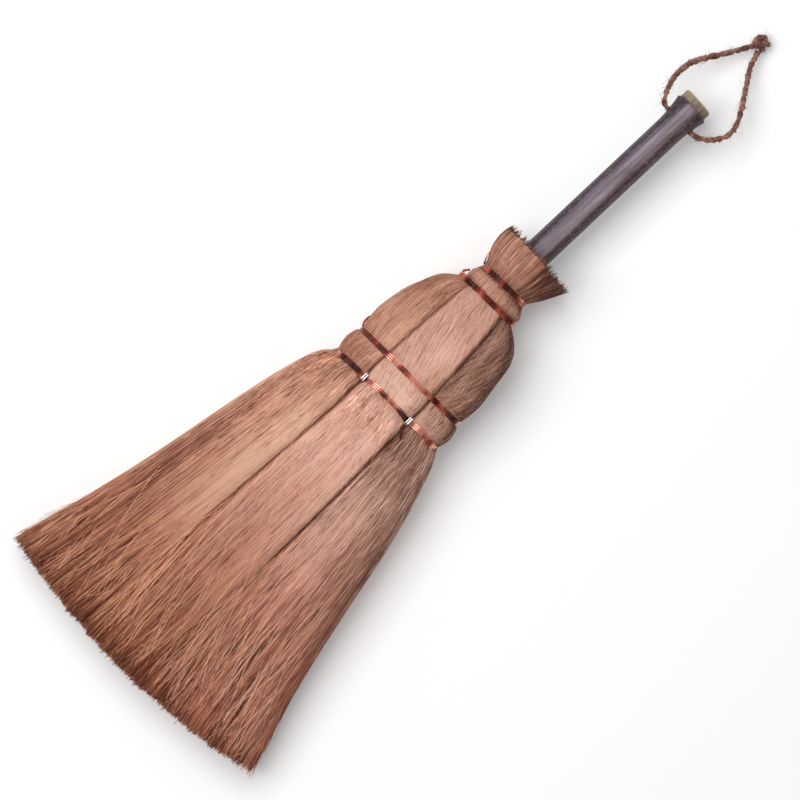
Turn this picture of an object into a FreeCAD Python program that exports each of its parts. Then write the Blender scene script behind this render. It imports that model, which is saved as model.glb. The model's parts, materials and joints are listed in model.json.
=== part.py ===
import FreeCAD, Part
import math
import os

from FreeCAD import Placement, Rotation, Vector

# A three-bundle palm-fibre hand broom, lying on a surface. Lengths are millimetres.
# +X runs from the bristle tips to the handle's end, +Y to the left bundle, +Z up from
# the surface. The origin is under the middle of the broom, hang loop left out.

# Lengths along the broom, from the bristle tips upwards
bristle_length = 190.0
waist_length = 16.0
shoulder_length = 54.0
neck_length = 11.0
ruff_length = 23.0
grip_length = 107.0
plug_head_length = 5.0

# Handle: a bamboo culm, pinned in the shoulder, that leans a little to the right
culm_diameter = 15.0
culm_wall = 2.0
culm_end_diameter = 19.0
culm_flare_length = 18.0
culm_flare_share = 0.25  # how far it has flared half way along
culm_edge_chamfer = 1.2
culm_foot_inset = 6.0  # from the shoulder wire up to the culm's foot
handle_lean = 1.75  # degrees
handle_fit = 0.1
plug_head_diameter = 16.5
plug_chamfer = 0.9
plug_spigot_length = 5.0
plug_fit = 0.05
peg_inset = 25.0  # from the shoulder wire up to the peg
peg_diameter = 4.0
peg_length = 52.0
peg_fit = 0.05
cord_hole_inset = 9.5  # from the culm's end down to the cord hole

# Head: three bundles of fibre, each a bark sheath round a core
sheath_wall = 1.6
binding_half_width = 34.9
binding_groove = 14.8
binding_thickness = 30.0
waist_half_width = 36.4
waist_groove = 15.2
waist_thickness = 34.0
waist_foot = 0.4  # how far the waist runs on below the stitches
shoulder_wire_half_width = 33.9
shoulder_wire_groove = 14.6
shoulder_wire_thickness = 33.0
shoulder_half_width = 35.6
shoulder_thickness = 45.2
neck_core_wall = 1.2  # fibre left beside the culm at the top of the middle bundle
skewer_diameter = 3.0
bundle_round_share = 0.97
side_thickness_share = 0.9
neck_side_thickness_share = 0.7
waist_along_shares = (0.25, 0.5, 0.75)
waist_swelling_shares = (0.75, 1.0, 0.75)
shoulder_along_shares = (0.14, 0.26, 0.38, 0.5, 0.62, 0.73, 0.83, 0.91, 0.96, 1.0)
shoulder_narrowing_shares = (0.0, 0.03, 0.07, 0.125, 0.19, 0.275, 0.395, 0.56, 0.725, 1.0)
shoulder_groove_shares = (0.1, 0.18, 0.28, 0.4, 0.52, 0.63, 0.73, 0.82, 0.9, 1.0)
shoulder_thinning_shares = (0.28, 0.1, 0.02, 0.0, 0.01, 0.06, 0.16, 0.35, 0.58, 1.0)
shoulder_round_shares = (0.93, 0.9, 0.87, 0.85, 0.85, 0.85, 0.86, 0.88, 0.9, 0.92)

# Collar: the sheaths' ends, gathered round the handle and flared into a ruff
lower_seat_diameter = 33.9
neck_swell_diameter = 34.8
upper_seat_diameter = 28.5
ruff_diameter = 43.4
ruff_cup = 2.0
ruff_swell_share = 0.7
collar_overrun = 2.0

# Bristles: the loose lower length of each bundle, bending about an axis under its crown
crown_clearance = 0.3
crown_top_half_width = 38.0
crown_half_width = 43.8
tip_half_width = 85.0
left_groove_tip = 23.0
right_groove_tip = 16.6
bristle_thickness = 39.5
tip_thickness = 25.0
tip_sagitta = 9.0  # how far the cut edge's middle stands out past its corners
floor_flat = 0.6  # how deep the undersides are pressed flat
bristle_along_shares = (0.06, 0.13, 0.22, 0.36, 0.52, 0.7, 0.86, 1.0)
bristle_widening_shares = (0.08, 0.16, 0.25, 0.365, 0.5, 0.67, 0.86, 1.0)
left_groove_shares = (0.08, 0.2, 0.4, 0.66, 0.85, 0.95, 1.0, 1.0)
right_groove_shares = (0.1, 0.25, 0.5, 0.7, 0.9, 1.0, 1.0, 1.0)
bristle_sinking_shares = (0.35, 0.78, 1.0, 1.0, 1.0, 1.0, 1.0, 1.0)
bristle_thinning_shares = (0.06, 0.0, 0.01, 0.13, 0.31, 0.56, 0.79, 1.0)
bristle_top_round_shares = (0.95, 0.92, 0.9, 0.87, 0.84, 0.8, 0.75, 0.7)
bristle_low_round_shares = (0.85, 0.7, 0.5, 0.35, 0.3, 0.3, 0.3, 0.3)

# Copper wire bindings and steel wire stitches
wire_diameter = 0.9
wire_turn_gap = 0.45
wire_seat_gap = 0.3
wire_seat_margin = 0.25  # how far a drawn-in seat runs past its winding
wire_turns = 3
groove_wire_radius = 2.4
stitch_diameter = 0.8
stitch_side_gap = 0.7  # between the binding wire and each leg of a stitch
stitch_groove_gap = 0.4  # between a stitch and the bundle on each side of it
stitch_end_gap = 0.7
stitch_slack = 0.9

# Hang loop: twine through the cord hole, its two legs tied in a knot
cord_diameter = 2.6
cord_clearance = 0.2
cord_mouth = 0.5  # how far the straight stretch stands out of the culm on each side
cord_lead = 3.2  # how far each leg runs straight on before it bends
knot_length = 9.0
knot_diameter = 8.6
knot_end_diameter = 6.0
knot_place = Vector(246.4, -6.8, 4.4)
knot_heading = Vector(57.5, -1.5, -17.0)
left_leg_points = (
    Vector(193.0, 9.3, 20.8),
    Vector(199.6, 11.8, 18.9),
    Vector(206.5, 12.7, 16.8),
    Vector(213.0, 11.8, 14.8),
    Vector(219.1, 8.9, 12.7),
    Vector(225.7, 4.9, 10.3),
    Vector(233.6, 0.1, 7.8),
    Vector(242.6, -4.7, 5.4),
)
right_leg_points = (
    Vector(190.5, -20.6, 20.9),
    Vector(194.5, -24.6, 19.5),
    Vector(199.4, -27.3, 17.9),
    Vector(204.6, -27.8, 16.3),
    Vector(209.8, -26.1, 14.7),
    Vector(215.4, -22.9, 12.9),
    Vector(221.8, -18.9, 10.9),
    Vector(228.2, -14.6, 8.8),
    Vector(234.9, -10.6, 6.9),
    Vector(242.4, -8.3, 5.2),
)

# Workings: how far cutting solids run past what they cut, and how routes are rounded
overrun = 20.0
arc_share = 0.45  # how much of the shorter run an arc takes up
straight_limit = 1e-6  # radians
points_per_edge = 6
apart_share = 6.0  # how many wires along a tube two places are before their gap counts

# Places worked out from the sizes
overall_length = (
    bristle_length + waist_length + shoulder_length + neck_length + ruff_length
    + grip_length + plug_head_length
)
tip_x = -overall_length / 2
binding_x = tip_x + bristle_length
shoulder_wire_x = binding_x + waist_length
lower_neck_x = shoulder_wire_x + shoulder_length
upper_neck_x = lower_neck_x + neck_length
rim_x = upper_neck_x + ruff_length
culm_end_x = rim_x + grip_length
wire_pitch = wire_diameter + wire_turn_gap
wire_offset = wire_seat_gap + wire_diameter / 2
winding_length = wire_turns * wire_pitch + wire_diameter
wire_seat_length = winding_length + wire_seat_margin
stitch_reach = winding_length / 2 + stitch_side_gap + stitch_diameter / 2
bundle_gap = stitch_diameter + 2 * stitch_groove_gap
waist_bottom_x = binding_x - stitch_reach - stitch_diameter / 2 - waist_foot
axis_height = shoulder_thickness / 2 - floor_flat
neck_half_width = lower_seat_diameter / 2
neck_groove = culm_diameter / 2 + handle_fit + neck_core_wall + sheath_wall
bundle_top_x = lower_neck_x - wire_seat_length / 2
peg_x = shoulder_wire_x + peg_inset
crown_radius = binding_thickness / 2
crown_top_x = waist_bottom_x - crown_clearance
flex_x = crown_top_x - crown_radius
lengthways = Vector(1, 0, 0)
sideways = Vector(0, 1, 0)
upwards = Vector(0, 0, 1)
handle_frame = Placement(Vector(peg_x, 0, axis_height), Rotation(upwards, -handle_lean))
culm_end = culm_end_x - peg_x
culm_foot = shoulder_wire_x + culm_foot_inset - peg_x
cord_hole = culm_end - cord_hole_inset
bore_radius = culm_diameter / 2 - culm_wall
sides = {"left": 1, "centre": 0, "right": -1}


def on_handle(shape):
    """A shape made along +X from the peg, set on the leaning handle's axis."""
    shape.Placement = handle_frame.multiply(shape.Placement)
    return shape


def turned(edges):
    """The solid that a closed outline of (along, radius) edges sweeps about +X."""
    return Part.Face(Part.Wire(edges)).revolve(Vector(), lengthways, 360)


def line(start, end):
    return Part.LineSegment(start, end).toShape()


def arc(start, through, end):
    return Part.Arc(start, through, end).toShape()


def polyline(points):
    return [line(a, b) for a, b in zip(points, points[1:])]


def rod(diameter, length):
    """A rod along +Y, with its middle at the origin."""
    return Part.makeCylinder(diameter / 2, length, Vector(0, -length / 2, 0), sideways)


def slab(low, high):
    size = high - low
    return Part.makeBox(size.x, size.y, size.z, low)


def section(x, y_low, y_high, z_low, z_high, low_round_share, high_round_share):
    """A bundle's outline across the broom: straight sides and round corners."""
    half = min(y_high - y_low, z_high - z_low) / 2
    low = low_round_share * half
    high = high_round_share * half
    corners = (
        (y_high - low, z_low + low, low, -90),
        (y_high - high, z_high - high, high, 0),
        (y_low + high, z_high - high, high, 90),
        (y_low + low, z_low + low, low, 180),
    )
    arcs = []
    for y, z, radius, start in corners:
        points = []
        for angle in (start, start + 45, start + 90):
            a = math.radians(angle)
            points.append(Vector(x, y + radius * math.cos(a), z + radius * math.sin(a)))
        arcs.append(points)
    edges = []
    for last, this in zip(arcs[-1:] + arcs[:-1], arcs):
        edges.append(line(last[2], this[0]))
        edges.append(arc(*this))
    return Part.Wire(edges)


def spread(low, high, share):
    return low + (high - low) * share


def head_stations():
    """(x, half width, groove, middle thickness, side thickness, roundness) up the head."""
    side = side_thickness_share
    whole = bundle_round_share
    half_seat = wire_seat_length / 2
    binding_top_x = binding_x + half_seat
    shoulder_foot_x = shoulder_wire_x - half_seat
    rows = []
    for x in (waist_bottom_x, binding_top_x):
        rows.append((x, binding_half_width, binding_groove, binding_thickness,
                     binding_thickness * side, whole))
    for along, swelling in zip(waist_along_shares, waist_swelling_shares):
        thickness = spread(binding_thickness, waist_thickness, swelling)
        rows.append((
            spread(binding_top_x, shoulder_foot_x, along),
            spread(binding_half_width, waist_half_width, swelling),
            spread(binding_groove, waist_groove, swelling),
            thickness,
            thickness * side,
            whole,
        ))
    for x in (shoulder_foot_x, shoulder_wire_x + half_seat):
        rows.append((x, shoulder_wire_half_width, shoulder_wire_groove,
                     shoulder_wire_thickness, shoulder_wire_thickness * side, whole))
    shares = zip(shoulder_along_shares, shoulder_narrowing_shares, shoulder_groove_shares,
                 shoulder_thinning_shares, shoulder_round_shares)
    for along, narrowing, groove, thinning, roundness in shares:
        thickness = spread(shoulder_thickness, lower_seat_diameter, thinning)
        rows.append((
            spread(shoulder_wire_x, bundle_top_x, along),
            spread(shoulder_half_width, neck_half_width, narrowing),
            spread(shoulder_wire_groove, neck_groove, groove),
            thickness,
            thickness * spread(side, neck_side_thickness_share, narrowing),
            roundness,
        ))
    return rows


def head_loft(side, inset):
    """One bundle of the head, drawn in by a wall's thickness all round."""
    wires = []
    for x, half_width, groove, middle, beside, roundness in head_stations():
        thickness = middle if side == 0 else beside
        low, high = -groove, groove
        if side > 0:
            low, high = groove + bundle_gap, half_width
        if side < 0:
            low, high = -half_width, -groove - bundle_gap
        wires.append(section(x, low + inset, high - inset,
                             axis_height - thickness / 2 + inset,
                             axis_height + thickness / 2 - inset, roundness, roundness))
    return Part.makeLoft(wires, True, True)


def under_floor():
    return slab(Vector(-overall_length, -overall_length, -overall_length),
                Vector(overall_length, overall_length, 0))


def culm_room():
    """The room that the culm takes in the head."""
    radius = culm_diameter / 2 + handle_fit
    return on_handle(Part.makeCylinder(radius, culm_end, Vector(culm_foot, 0, 0), lengthways))


def peg_room(clearance):
    return on_handle(rod(peg_diameter + 2 * clearance, peg_length + 2 * clearance))


def skewer_length():
    return 2 * (waist_half_width - sheath_wall)


def skewer_room(clearance):
    place = Vector(binding_x + waist_length / 2, 0, axis_height)
    return rod(skewer_diameter + 2 * clearance, skewer_length()).translated(place)


def head_rooms():
    return [culm_room(), peg_room(peg_fit), skewer_room(peg_fit), under_floor()]


def sheath(side):
    return head_loft(side, 0).cut([head_loft(side, sheath_wall)] + head_rooms())


def core(side):
    return head_loft(side, sheath_wall).cut(head_rooms())


def collar():
    """The neck's two wire seats, the swell between them and the flared ruff."""
    bore = culm_diameter / 2 + handle_fit
    half_seat = wire_seat_length / 2
    lower = lower_neck_x - peg_x
    upper = upper_neck_x - peg_x
    rim = rim_x - peg_x
    foot = bundle_top_x - peg_x - collar_overrun
    swell = Vector((lower + upper) / 2, neck_swell_diameter / 2, 0)
    seat_end = Vector(lower + half_seat, lower_seat_diameter / 2, 0)
    seat_start = Vector(upper - half_seat, upper_seat_diameter / 2, 0)
    flare_start = Vector(upper + half_seat, upper_seat_diameter / 2, 0)
    flare_end = Vector(rim, ruff_diameter / 2, 0)
    flare_middle = Vector(
        (flare_start.x + flare_end.x) / 2, spread(flare_start.y, flare_end.y, ruff_swell_share), 0)
    edges = polyline([Vector(foot, bore, 0), Vector(foot, lower_seat_diameter / 2, 0), seat_end])
    edges.append(arc(seat_end, swell, seat_start))
    edges.append(line(seat_start, flare_start))
    edges.append(arc(flare_start, flare_middle, flare_end))
    edges += polyline([flare_end, Vector(rim - ruff_cup, bore, 0), Vector(foot, bore, 0)])
    below = slab(Vector(-overall_length, -overall_length, -overall_length),
                 Vector(bundle_top_x, overall_length, overall_length))
    return on_handle(turned(edges)).cut([below, under_floor()])


def culm():
    """A hollow culm, flared at its end, with the peg's and the cord's cross holes."""
    radius = culm_diameter / 2
    end_radius = culm_end_diameter / 2
    flare_start = Vector(culm_end - culm_flare_length, radius, 0)
    flare_end = Vector(culm_end - culm_edge_chamfer, end_radius, 0)
    flare_middle = Vector(
        (flare_start.x + flare_end.x) / 2, spread(radius, end_radius, culm_flare_share), 0)
    edges = polyline([Vector(culm_foot, bore_radius, 0), Vector(culm_foot, radius, 0), flare_start])
    edges.append(arc(flare_start, flare_middle, flare_end))
    edges += polyline([flare_end, Vector(culm_end, end_radius - culm_edge_chamfer, 0),
                       Vector(culm_end, bore_radius, 0), Vector(culm_foot, bore_radius, 0)])
    hole = rod(cord_diameter + 2 * cord_clearance, 2 * culm_end_diameter)
    hole.translate(Vector(cord_hole, 0, 0))
    return on_handle(turned(edges).cut([rod(peg_diameter + 2 * peg_fit, peg_length), hole]))


def plug():
    """A whittled plug: a spigot in the culm's bore and a chamfered head on its end."""
    head = plug_head_diameter / 2
    top = culm_end + plug_head_length
    spigot = culm_end - plug_spigot_length
    radius = bore_radius - plug_fit
    points = [Vector(spigot, 0, 0), Vector(spigot, radius, 0), Vector(culm_end, radius, 0),
              Vector(culm_end, head, 0), Vector(top - plug_chamfer, head, 0),
              Vector(top, head - plug_chamfer, 0), Vector(top, 0, 0), Vector(spigot, 0, 0)]
    return on_handle(turned(polyline(points)))


def bristle_stations(side):
    """(x, low y, high y, low z, high z, low roundness, high roundness) down the bristles."""
    inner = binding_groove + bundle_gap
    low_z = axis_height - crown_radius
    high_z = axis_height + crown_radius
    whole = bundle_round_share
    rows = []
    for x, half_width in ((crown_top_x, crown_top_half_width), (flex_x, crown_half_width)):
        rows.append((x, inner, inner, half_width, low_z, high_z, whole, whole))
    shares = zip(bristle_along_shares, bristle_widening_shares, left_groove_shares,
                 right_groove_shares, bristle_sinking_shares, bristle_thinning_shares,
                 bristle_low_round_shares, bristle_top_round_shares)
    for along, widening, left, right, sinking, thinning, low_round, high_round in shares:
        rows.append((
            spread(flex_x, tip_x, along),
            spread(inner, left_groove_tip, left),
            spread(inner, right_groove_tip, right),
            spread(crown_half_width, tip_half_width, widening),
            spread(low_z, -floor_flat, sinking),
            spread(bristle_thickness, tip_thickness, thinning),
            low_round,
            high_round,
        ))
    stations = []
    for x, left, right, half_width, low, high, low_round, high_round in rows:
        across = (bundle_gap - right, left - bundle_gap)
        if side > 0:
            across = (left, half_width)
        if side < 0:
            across = (-half_width, -right)
        stations.append((x, across[0], across[1], low, high, low_round, high_round))
    return stations


def bristles(side):
    """One bundle's loose length: a round crown about the flex axis, down to the cut tips."""
    wires = [section(*row) for row in bristle_stations(side)]
    width = 2 * (tip_half_width + overrun)
    barrel = rod(2 * crown_radius, width).translated(Vector(flex_x, 0, axis_height))
    crown = Part.makeLoft(wires[:2], True, True).common(barrel)
    edge_radius = (tip_half_width ** 2 + tip_sagitta ** 2) / (2 * tip_sagitta)
    height = bristle_thickness + 2 * overrun
    kept = Part.makeCylinder(edge_radius, height, Vector(tip_x + edge_radius, 0, -overrun), upwards)
    length = Part.makeLoft(wires[1:], True, True).cut(under_floor()).common(kept)
    return length.fuse(crown)


def biarc(start, start_way, end, end_way):
    """Two tangent arcs that leave start along start_way and reach end along end_way."""
    chord = end - start
    ways = start_way + end_way
    spare = 2 * (1 - start_way.dot(end_way))
    pull = chord.dot(ways)
    reach = chord.dot(chord) / (2 * pull)
    if spare > straight_limit ** 2:
        reach = (math.sqrt(pull * pull + spare * chord.dot(chord)) - pull) / spare
    middle = (start + end + (start_way - end_way) * reach) * 0.5
    return [tangent_arc(start, start_way, middle), tangent_arc(end, end_way * -1, middle, True)]


def tangent_arc(start, way, end, backwards=False):
    """The arc that leaves start along way and reaches end, or the same arc from end."""
    chord = end - start
    turn = way.getAngle(chord)
    if turn < straight_limit:
        return line(end, start) if backwards else line(start, end)
    half = chord.Length / 2
    bulge = (way - chord * (way.dot(chord) / chord.dot(chord))).normalize()
    through = start + chord * 0.5 + bulge * (half * math.tan(turn / 2))
    return arc(end, through, start) if backwards else arc(start, through, end)


def facing(angle):
    """The direction across the broom at an angle from +Y towards +Z."""
    a = math.radians(angle)
    return Vector(0, math.cos(a), math.sin(a))


def ring_outline(radius):
    """Half a turn round a round neck, as places and the angles of travel there."""
    return [(facing(angle) * radius, angle + 90) for angle in (0, 90)]


def belt_outline(half_width, thickness, groove):
    """Half a turn pulled straight across the grooves, as a tight belt lies."""
    radius = (half_width - groove - bundle_gap) / 2
    side = Vector(0, half_width - radius, thickness * side_thickness_share / 2 - radius)
    reach = radius + wire_offset
    low_side = Vector(0, side.y, -side.z)
    top_left = side + upwards * reach
    top_right = Vector(0, -top_left.y, top_left.z)
    return [
        (low_side + sideways * reach, 90),
        (side + sideways * reach, 90),
        (top_left, 180),
        (upwards * (thickness / 2 + wire_offset), 180),
        (top_right, 180),
    ]


def lobed_outline(half_width, thickness, groove):
    """Half a turn that follows each bundle and dips into the grooves between them."""
    radius = (half_width - groove - bundle_gap) / 2
    side = Vector(0, half_width - radius, thickness * side_thickness_share / 2 - radius)
    reach = radius + wire_offset
    crest = thickness / 2 + wire_offset
    far = reach + groove_wire_radius
    near = crest + groove_wire_radius
    apart = side.Length
    along = (near ** 2 - far ** 2 + apart ** 2) / (2 * apart)
    heading = side * (1 / apart)
    dip = heading * along + Vector(0, -heading.z, heading.y) * math.sqrt(near ** 2 - along ** 2)
    crest_angle = math.degrees(math.atan2(dip.z, dip.y))
    side_angle = math.degrees(math.atan2(dip.z - side.z, dip.y - side.y))
    right = Vector(0, -side.y, side.z)
    low_side = Vector(0, side.y, -side.z)
    return [
        (low_side + sideways * reach, 90),
        (side + sideways * reach, 90),
        (side + upwards * reach, 180),
        (side + facing(side_angle) * reach, side_angle + 90),
        (facing(crest_angle) * crest, crest_angle + 90),
        (upwards * crest, 180),
        (facing(180 - crest_angle) * crest, 270 - crest_angle),
        (right + facing(180 - side_angle) * reach, 270 - side_angle),
        (right + upwards * reach, 180),
    ]


def groove_wire_height():
    """How far above the axis the binding wire's middle lies at the bottom of a groove."""
    nodes = lobed_outline(binding_half_width, binding_thickness, binding_groove)
    foot, way = nodes[4]
    return foot.z + groove_wire_radius * (math.sin(math.radians(way - 90)) - 1)


def winding(name, half_outline):
    """Turns of wire along a half outline and its half-turn copy, as one unbroken tube."""
    nodes = half_outline + [(place * -1, way + 180) for place, way in half_outline]
    steps = [(b[0] - a[0]).Length for a, b in zip(nodes, nodes[1:] + nodes[:1])]
    girth = sum(steps)
    rise = lengthways * (wire_pitch / girth)
    stops = []
    travelled = 0
    for number in range(len(nodes) * wire_turns + 1):
        place, way = nodes[number % len(nodes)]
        middle = wire_pitch * (travelled / girth - wire_turns / 2)
        stops.append((place + lengthways * middle, (facing(way) + rise).normalize()))
        travelled += steps[number % len(nodes)]
    edges = []
    for (start, start_way), (end, end_way) in zip(stops, stops[1:]):
        edges += biarc(start, start_way, end, end_way)
    first, first_way = stops[0]
    last, last_way = stops[-1]
    edges.insert(0, line(first - first_way * wire_diameter, first))
    edges.append(line(last, last + last_way * wire_diameter))
    print(name, "least gap between turns", round(least_gap(edges), 3))
    return tube(name, edges, wire_diameter)


def least_gap(edges):
    """The least gap of a tube to itself, on points along it more than a few wires apart."""
    points = []
    for edge in edges:
        points += edge.discretize(Number=points_per_edge + 1)[:-1]
    runs = [0.0]
    for a, b in zip(points, points[1:]):
        runs.append(runs[-1] + (b - a).Length)
    skip = apart_share * wire_diameter
    least = min(
        (points[i] - points[j]).Length
        for i in range(len(points))
        for j in range(i)
        if runs[i] - runs[j] > skip
    )
    return least - wire_diameter


def tube(name, edges, diameter):
    """A round tube along joined lines and arcs, with its volume held against its length."""
    path = Part.Wire(edges)
    start = edges[0].firstVertex().Point
    way = edges[0].tangentAt(edges[0].FirstParameter)
    profile = Part.Wire(Part.Circle(start, way, diameter / 2).toShape())
    solid = path.makePipeShell([profile], True, False)
    plain = math.pi * diameter ** 2 / 4 * path.Length
    print(name, "length", round(path.Length, 2), "volume share", round(solid.Volume / plain, 4))
    return solid


def rounded_route(name, points):
    """Straight runs joined by tangent arcs, each as large as its two runs allow."""
    edges = []
    radii = []
    start = points[0]
    for before, corner, after in zip(points, points[1:], points[2:]):
        back = before - corner
        on = after - corner
        half_turn = (math.pi - back.getAngle(on)) / 2
        trim = arc_share * min(back.Length, on.Length)
        radius = trim / math.tan(half_turn)
        radii.append(round(radius, 1))
        arc_start = corner + back.normalize() * trim
        arc_end = corner + on.normalize() * trim
        inwards = (arc_start + arc_end) * 0.5 - corner
        depth = radius / math.cos(half_turn) - radius
        edges.append(line(start, arc_start))
        edges.append(arc(arc_start, corner + inwards.normalize() * depth, arc_end))
        start = arc_end
    edges.append(line(start, points[-1]))
    print(name, "radii", radii)
    return edges


def stitch(name, side):
    """A staple of steel wire round the binding wire in one groove, its ends turned in below."""
    y = side * (binding_groove + bundle_gap / 2)
    rise = groove_wire_height() + wire_diameter / 2 + stitch_diameter / 2 + stitch_slack
    half_gap = stitch_end_gap / 2
    corners = ((half_gap, -rise), (stitch_reach, -rise), (stitch_reach, rise),
               (-stitch_reach, rise), (-stitch_reach, -rise), (-half_gap, -rise))
    points = [Vector(binding_x + along, y, axis_height + height) for along, height in corners]
    return tube(name, rounded_route(name, points), stitch_diameter)


def beside_hole(reach):
    """A place on the cord hole's line, so far to the left of the culm's middle."""
    return handle_frame.multVec(Vector(cord_hole, reach, 0))


def cord_stretch_length():
    return culm_diameter + 2 * cord_mouth


def cord_stretch():
    return on_handle(rod(cord_diameter, cord_stretch_length()).translated(Vector(cord_hole, 0, 0)))


def cord_leg(name, side, points):
    mouth = cord_stretch_length() / 2
    route = [beside_hole(side * mouth), beside_hole(side * (mouth + cord_lead))] + list(points)
    return tube(name, rounded_route(name, route), cord_diameter)


def knot(legs):
    """A short barrel of wound twine, with the two legs' room cut out of it."""
    end = knot_end_diameter / 2
    middle = knot_diameter / 2
    half = knot_length / 2
    start = Vector(-half, end, 0)
    stop = Vector(half, end, 0)
    edges = [line(Vector(-half, 0, 0), start), arc(start, Vector(0, middle, 0), stop)]
    edges += polyline([stop, Vector(half, 0, 0), Vector(-half, 0, 0)])
    barrel = turned(edges)
    barrel.Placement = Placement(knot_place, Rotation(lengthways, knot_heading))
    return barrel.cut(legs + [under_floor()])


def wound_on_head(name, x, outline):
    return winding(name, outline).translated(Vector(x, 0, axis_height))


def wound_on_neck(name, x, seat_diameter):
    ring = winding(name, ring_outline(seat_diameter / 2 + wire_offset))
    return on_handle(ring.translated(Vector(x - peg_x, 0, 0)))


def build():
    parts = {}
    parts["handle_culm"] = culm()
    parts["end_plug"] = plug()
    parts["handle_peg"] = peg_room(0)
    parts["waist_skewer"] = skewer_room(0)
    parts["neck_collar"] = collar()
    for name, side in sides.items():
        parts["sheath_" + name] = sheath(side)
        parts["core_" + name] = core(side)
        parts["bristles_" + name] = bristles(side)
    parts["neck_wire_upper"] = wound_on_neck("neck_wire_upper", upper_neck_x, upper_seat_diameter)
    parts["neck_wire_lower"] = wound_on_neck("neck_wire_lower", lower_neck_x, lower_seat_diameter)
    parts["shoulder_wire"] = wound_on_head("shoulder_wire", shoulder_wire_x, belt_outline(
        shoulder_wire_half_width, shoulder_wire_thickness, shoulder_wire_groove))
    parts["binding_wire"] = wound_on_head("binding_wire", binding_x, lobed_outline(
        binding_half_width, binding_thickness, binding_groove))
    parts["stitch_left"] = stitch("stitch_left", 1)
    parts["stitch_right"] = stitch("stitch_right", -1)
    parts["cord_through"] = cord_stretch()
    parts["cord_left_leg"] = cord_leg("cord_left_leg", 1, left_leg_points)
    parts["cord_right_leg"] = cord_leg("cord_right_leg", -1, right_leg_points)
    parts["cord_knot"] = knot([parts["cord_left_leg"], parts["cord_right_leg"]])
    return parts


os.makedirs("parts", exist_ok=True)
for node, shape in build().items():
    print(node, "solids", len(shape.Solids), "volume", round(shape.Volume, 1), "valid", shape.isValid())
    shape.exportStep("parts/" + node + ".step")
print("flex axis at", Vector(flex_x, 0, axis_height), "along", sideways)
print("cord hole at", beside_hole(0), "along", handle_frame.Rotation.multVec(sideways))
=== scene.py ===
import json

import bpy
import numpy as np
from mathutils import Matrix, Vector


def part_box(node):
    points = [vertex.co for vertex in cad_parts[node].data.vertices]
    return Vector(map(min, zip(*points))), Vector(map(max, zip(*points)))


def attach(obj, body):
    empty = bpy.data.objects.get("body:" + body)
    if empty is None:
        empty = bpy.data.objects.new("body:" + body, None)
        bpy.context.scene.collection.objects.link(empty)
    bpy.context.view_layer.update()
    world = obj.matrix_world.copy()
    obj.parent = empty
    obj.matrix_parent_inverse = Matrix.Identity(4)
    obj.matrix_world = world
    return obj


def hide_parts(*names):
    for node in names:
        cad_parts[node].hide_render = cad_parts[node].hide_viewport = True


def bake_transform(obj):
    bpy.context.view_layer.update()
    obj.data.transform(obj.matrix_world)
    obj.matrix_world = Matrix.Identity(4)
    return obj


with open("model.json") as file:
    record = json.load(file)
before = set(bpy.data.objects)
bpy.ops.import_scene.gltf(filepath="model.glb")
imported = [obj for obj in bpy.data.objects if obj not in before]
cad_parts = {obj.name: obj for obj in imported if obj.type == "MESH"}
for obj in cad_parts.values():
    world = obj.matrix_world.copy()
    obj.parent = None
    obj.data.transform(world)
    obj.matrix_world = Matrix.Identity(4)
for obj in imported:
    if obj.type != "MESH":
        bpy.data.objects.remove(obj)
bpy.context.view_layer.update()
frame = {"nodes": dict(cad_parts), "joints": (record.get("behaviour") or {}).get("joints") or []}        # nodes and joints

# A palm-fibre hand broom lying on a table. Shapes are worked out in millimetres, along
# +X from the bristle tips to the handle's end, +Y to the left bundle and +Z up.
mm = 0.001
full = 2 * np.pi
upwards = np.array([0.0, 0.0, 1.0])
lengthways = np.array([1.0, 0.0, 0.0])
bundles = {"left": 1, "centre": 0, "right": -1}


# Places read from the frame
def boxOf(node):
    low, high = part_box(node)
    return np.array(low) / mm, np.array(high) / mm


def middleX(node):
    low, high = boxOf(node)
    return (low[0] + high[0]) / 2


joints = {joint["name"]: joint for joint in frame["joints"]}
flexPoint = np.array(joints["centre_brush_bend"]["pos_m"]) / mm
holePoint = np.array(joints["loop_swing"]["pos_m"]) / mm
acrossHandle = -np.array(joints["loop_swing"]["axis"])     # towards the left bundle
alongHandle = np.array([acrossHandle[1], -acrossHandle[0], 0.0])
axisHeight = flexPoint[2]
tipX = boxOf("bristles_centre")[0][0]
bindingX = middleX("binding_wire")
shoulderX = middleX("shoulder_wire")
lowerNeckX = middleX("neck_wire_lower")
upperNeckX = middleX("neck_wire_upper")
rimX = boxOf("neck_collar")[1][0]
print("frame loaded, broom from", round(tipX, 1), "to", round(boxOf("end_plug")[1][0], 1), "mm")


# Curves and noise
def evenly(points, count):     # the same line again, its points evenly spaced by length
    step = np.linalg.norm(np.diff(points, axis=0), axis=1)
    run = np.concatenate([[0], np.cumsum(step)])
    at = np.linspace(0, run[-1], count)
    return np.stack([np.interp(at, run, points[:, k]) for k in range(points.shape[1])], axis=1)


def eased(at, places, values, easing=14):     # a table's straight runs, with their corners rounded off
    fine = np.linspace(places[0], places[-1], 400)
    run = np.pad(np.interp(fine, places, values), easing, mode="reflect", reflect_type="odd")
    weights = np.hanning(2 * easing + 3)[1:-1]
    return np.interp(at, fine, np.convolve(run, weights / weights.sum(), mode="valid"))


# From the corners of each cell of a grid to the places inside it
def between(corners, r, c, d, u, v):
    low = corners[r, c] * (1 - u) + corners[r, d] * u
    high = corners[r + 1, c] * (1 - u) + corners[r + 1, d] * u
    return low * (1 - v) + high * v


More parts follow.
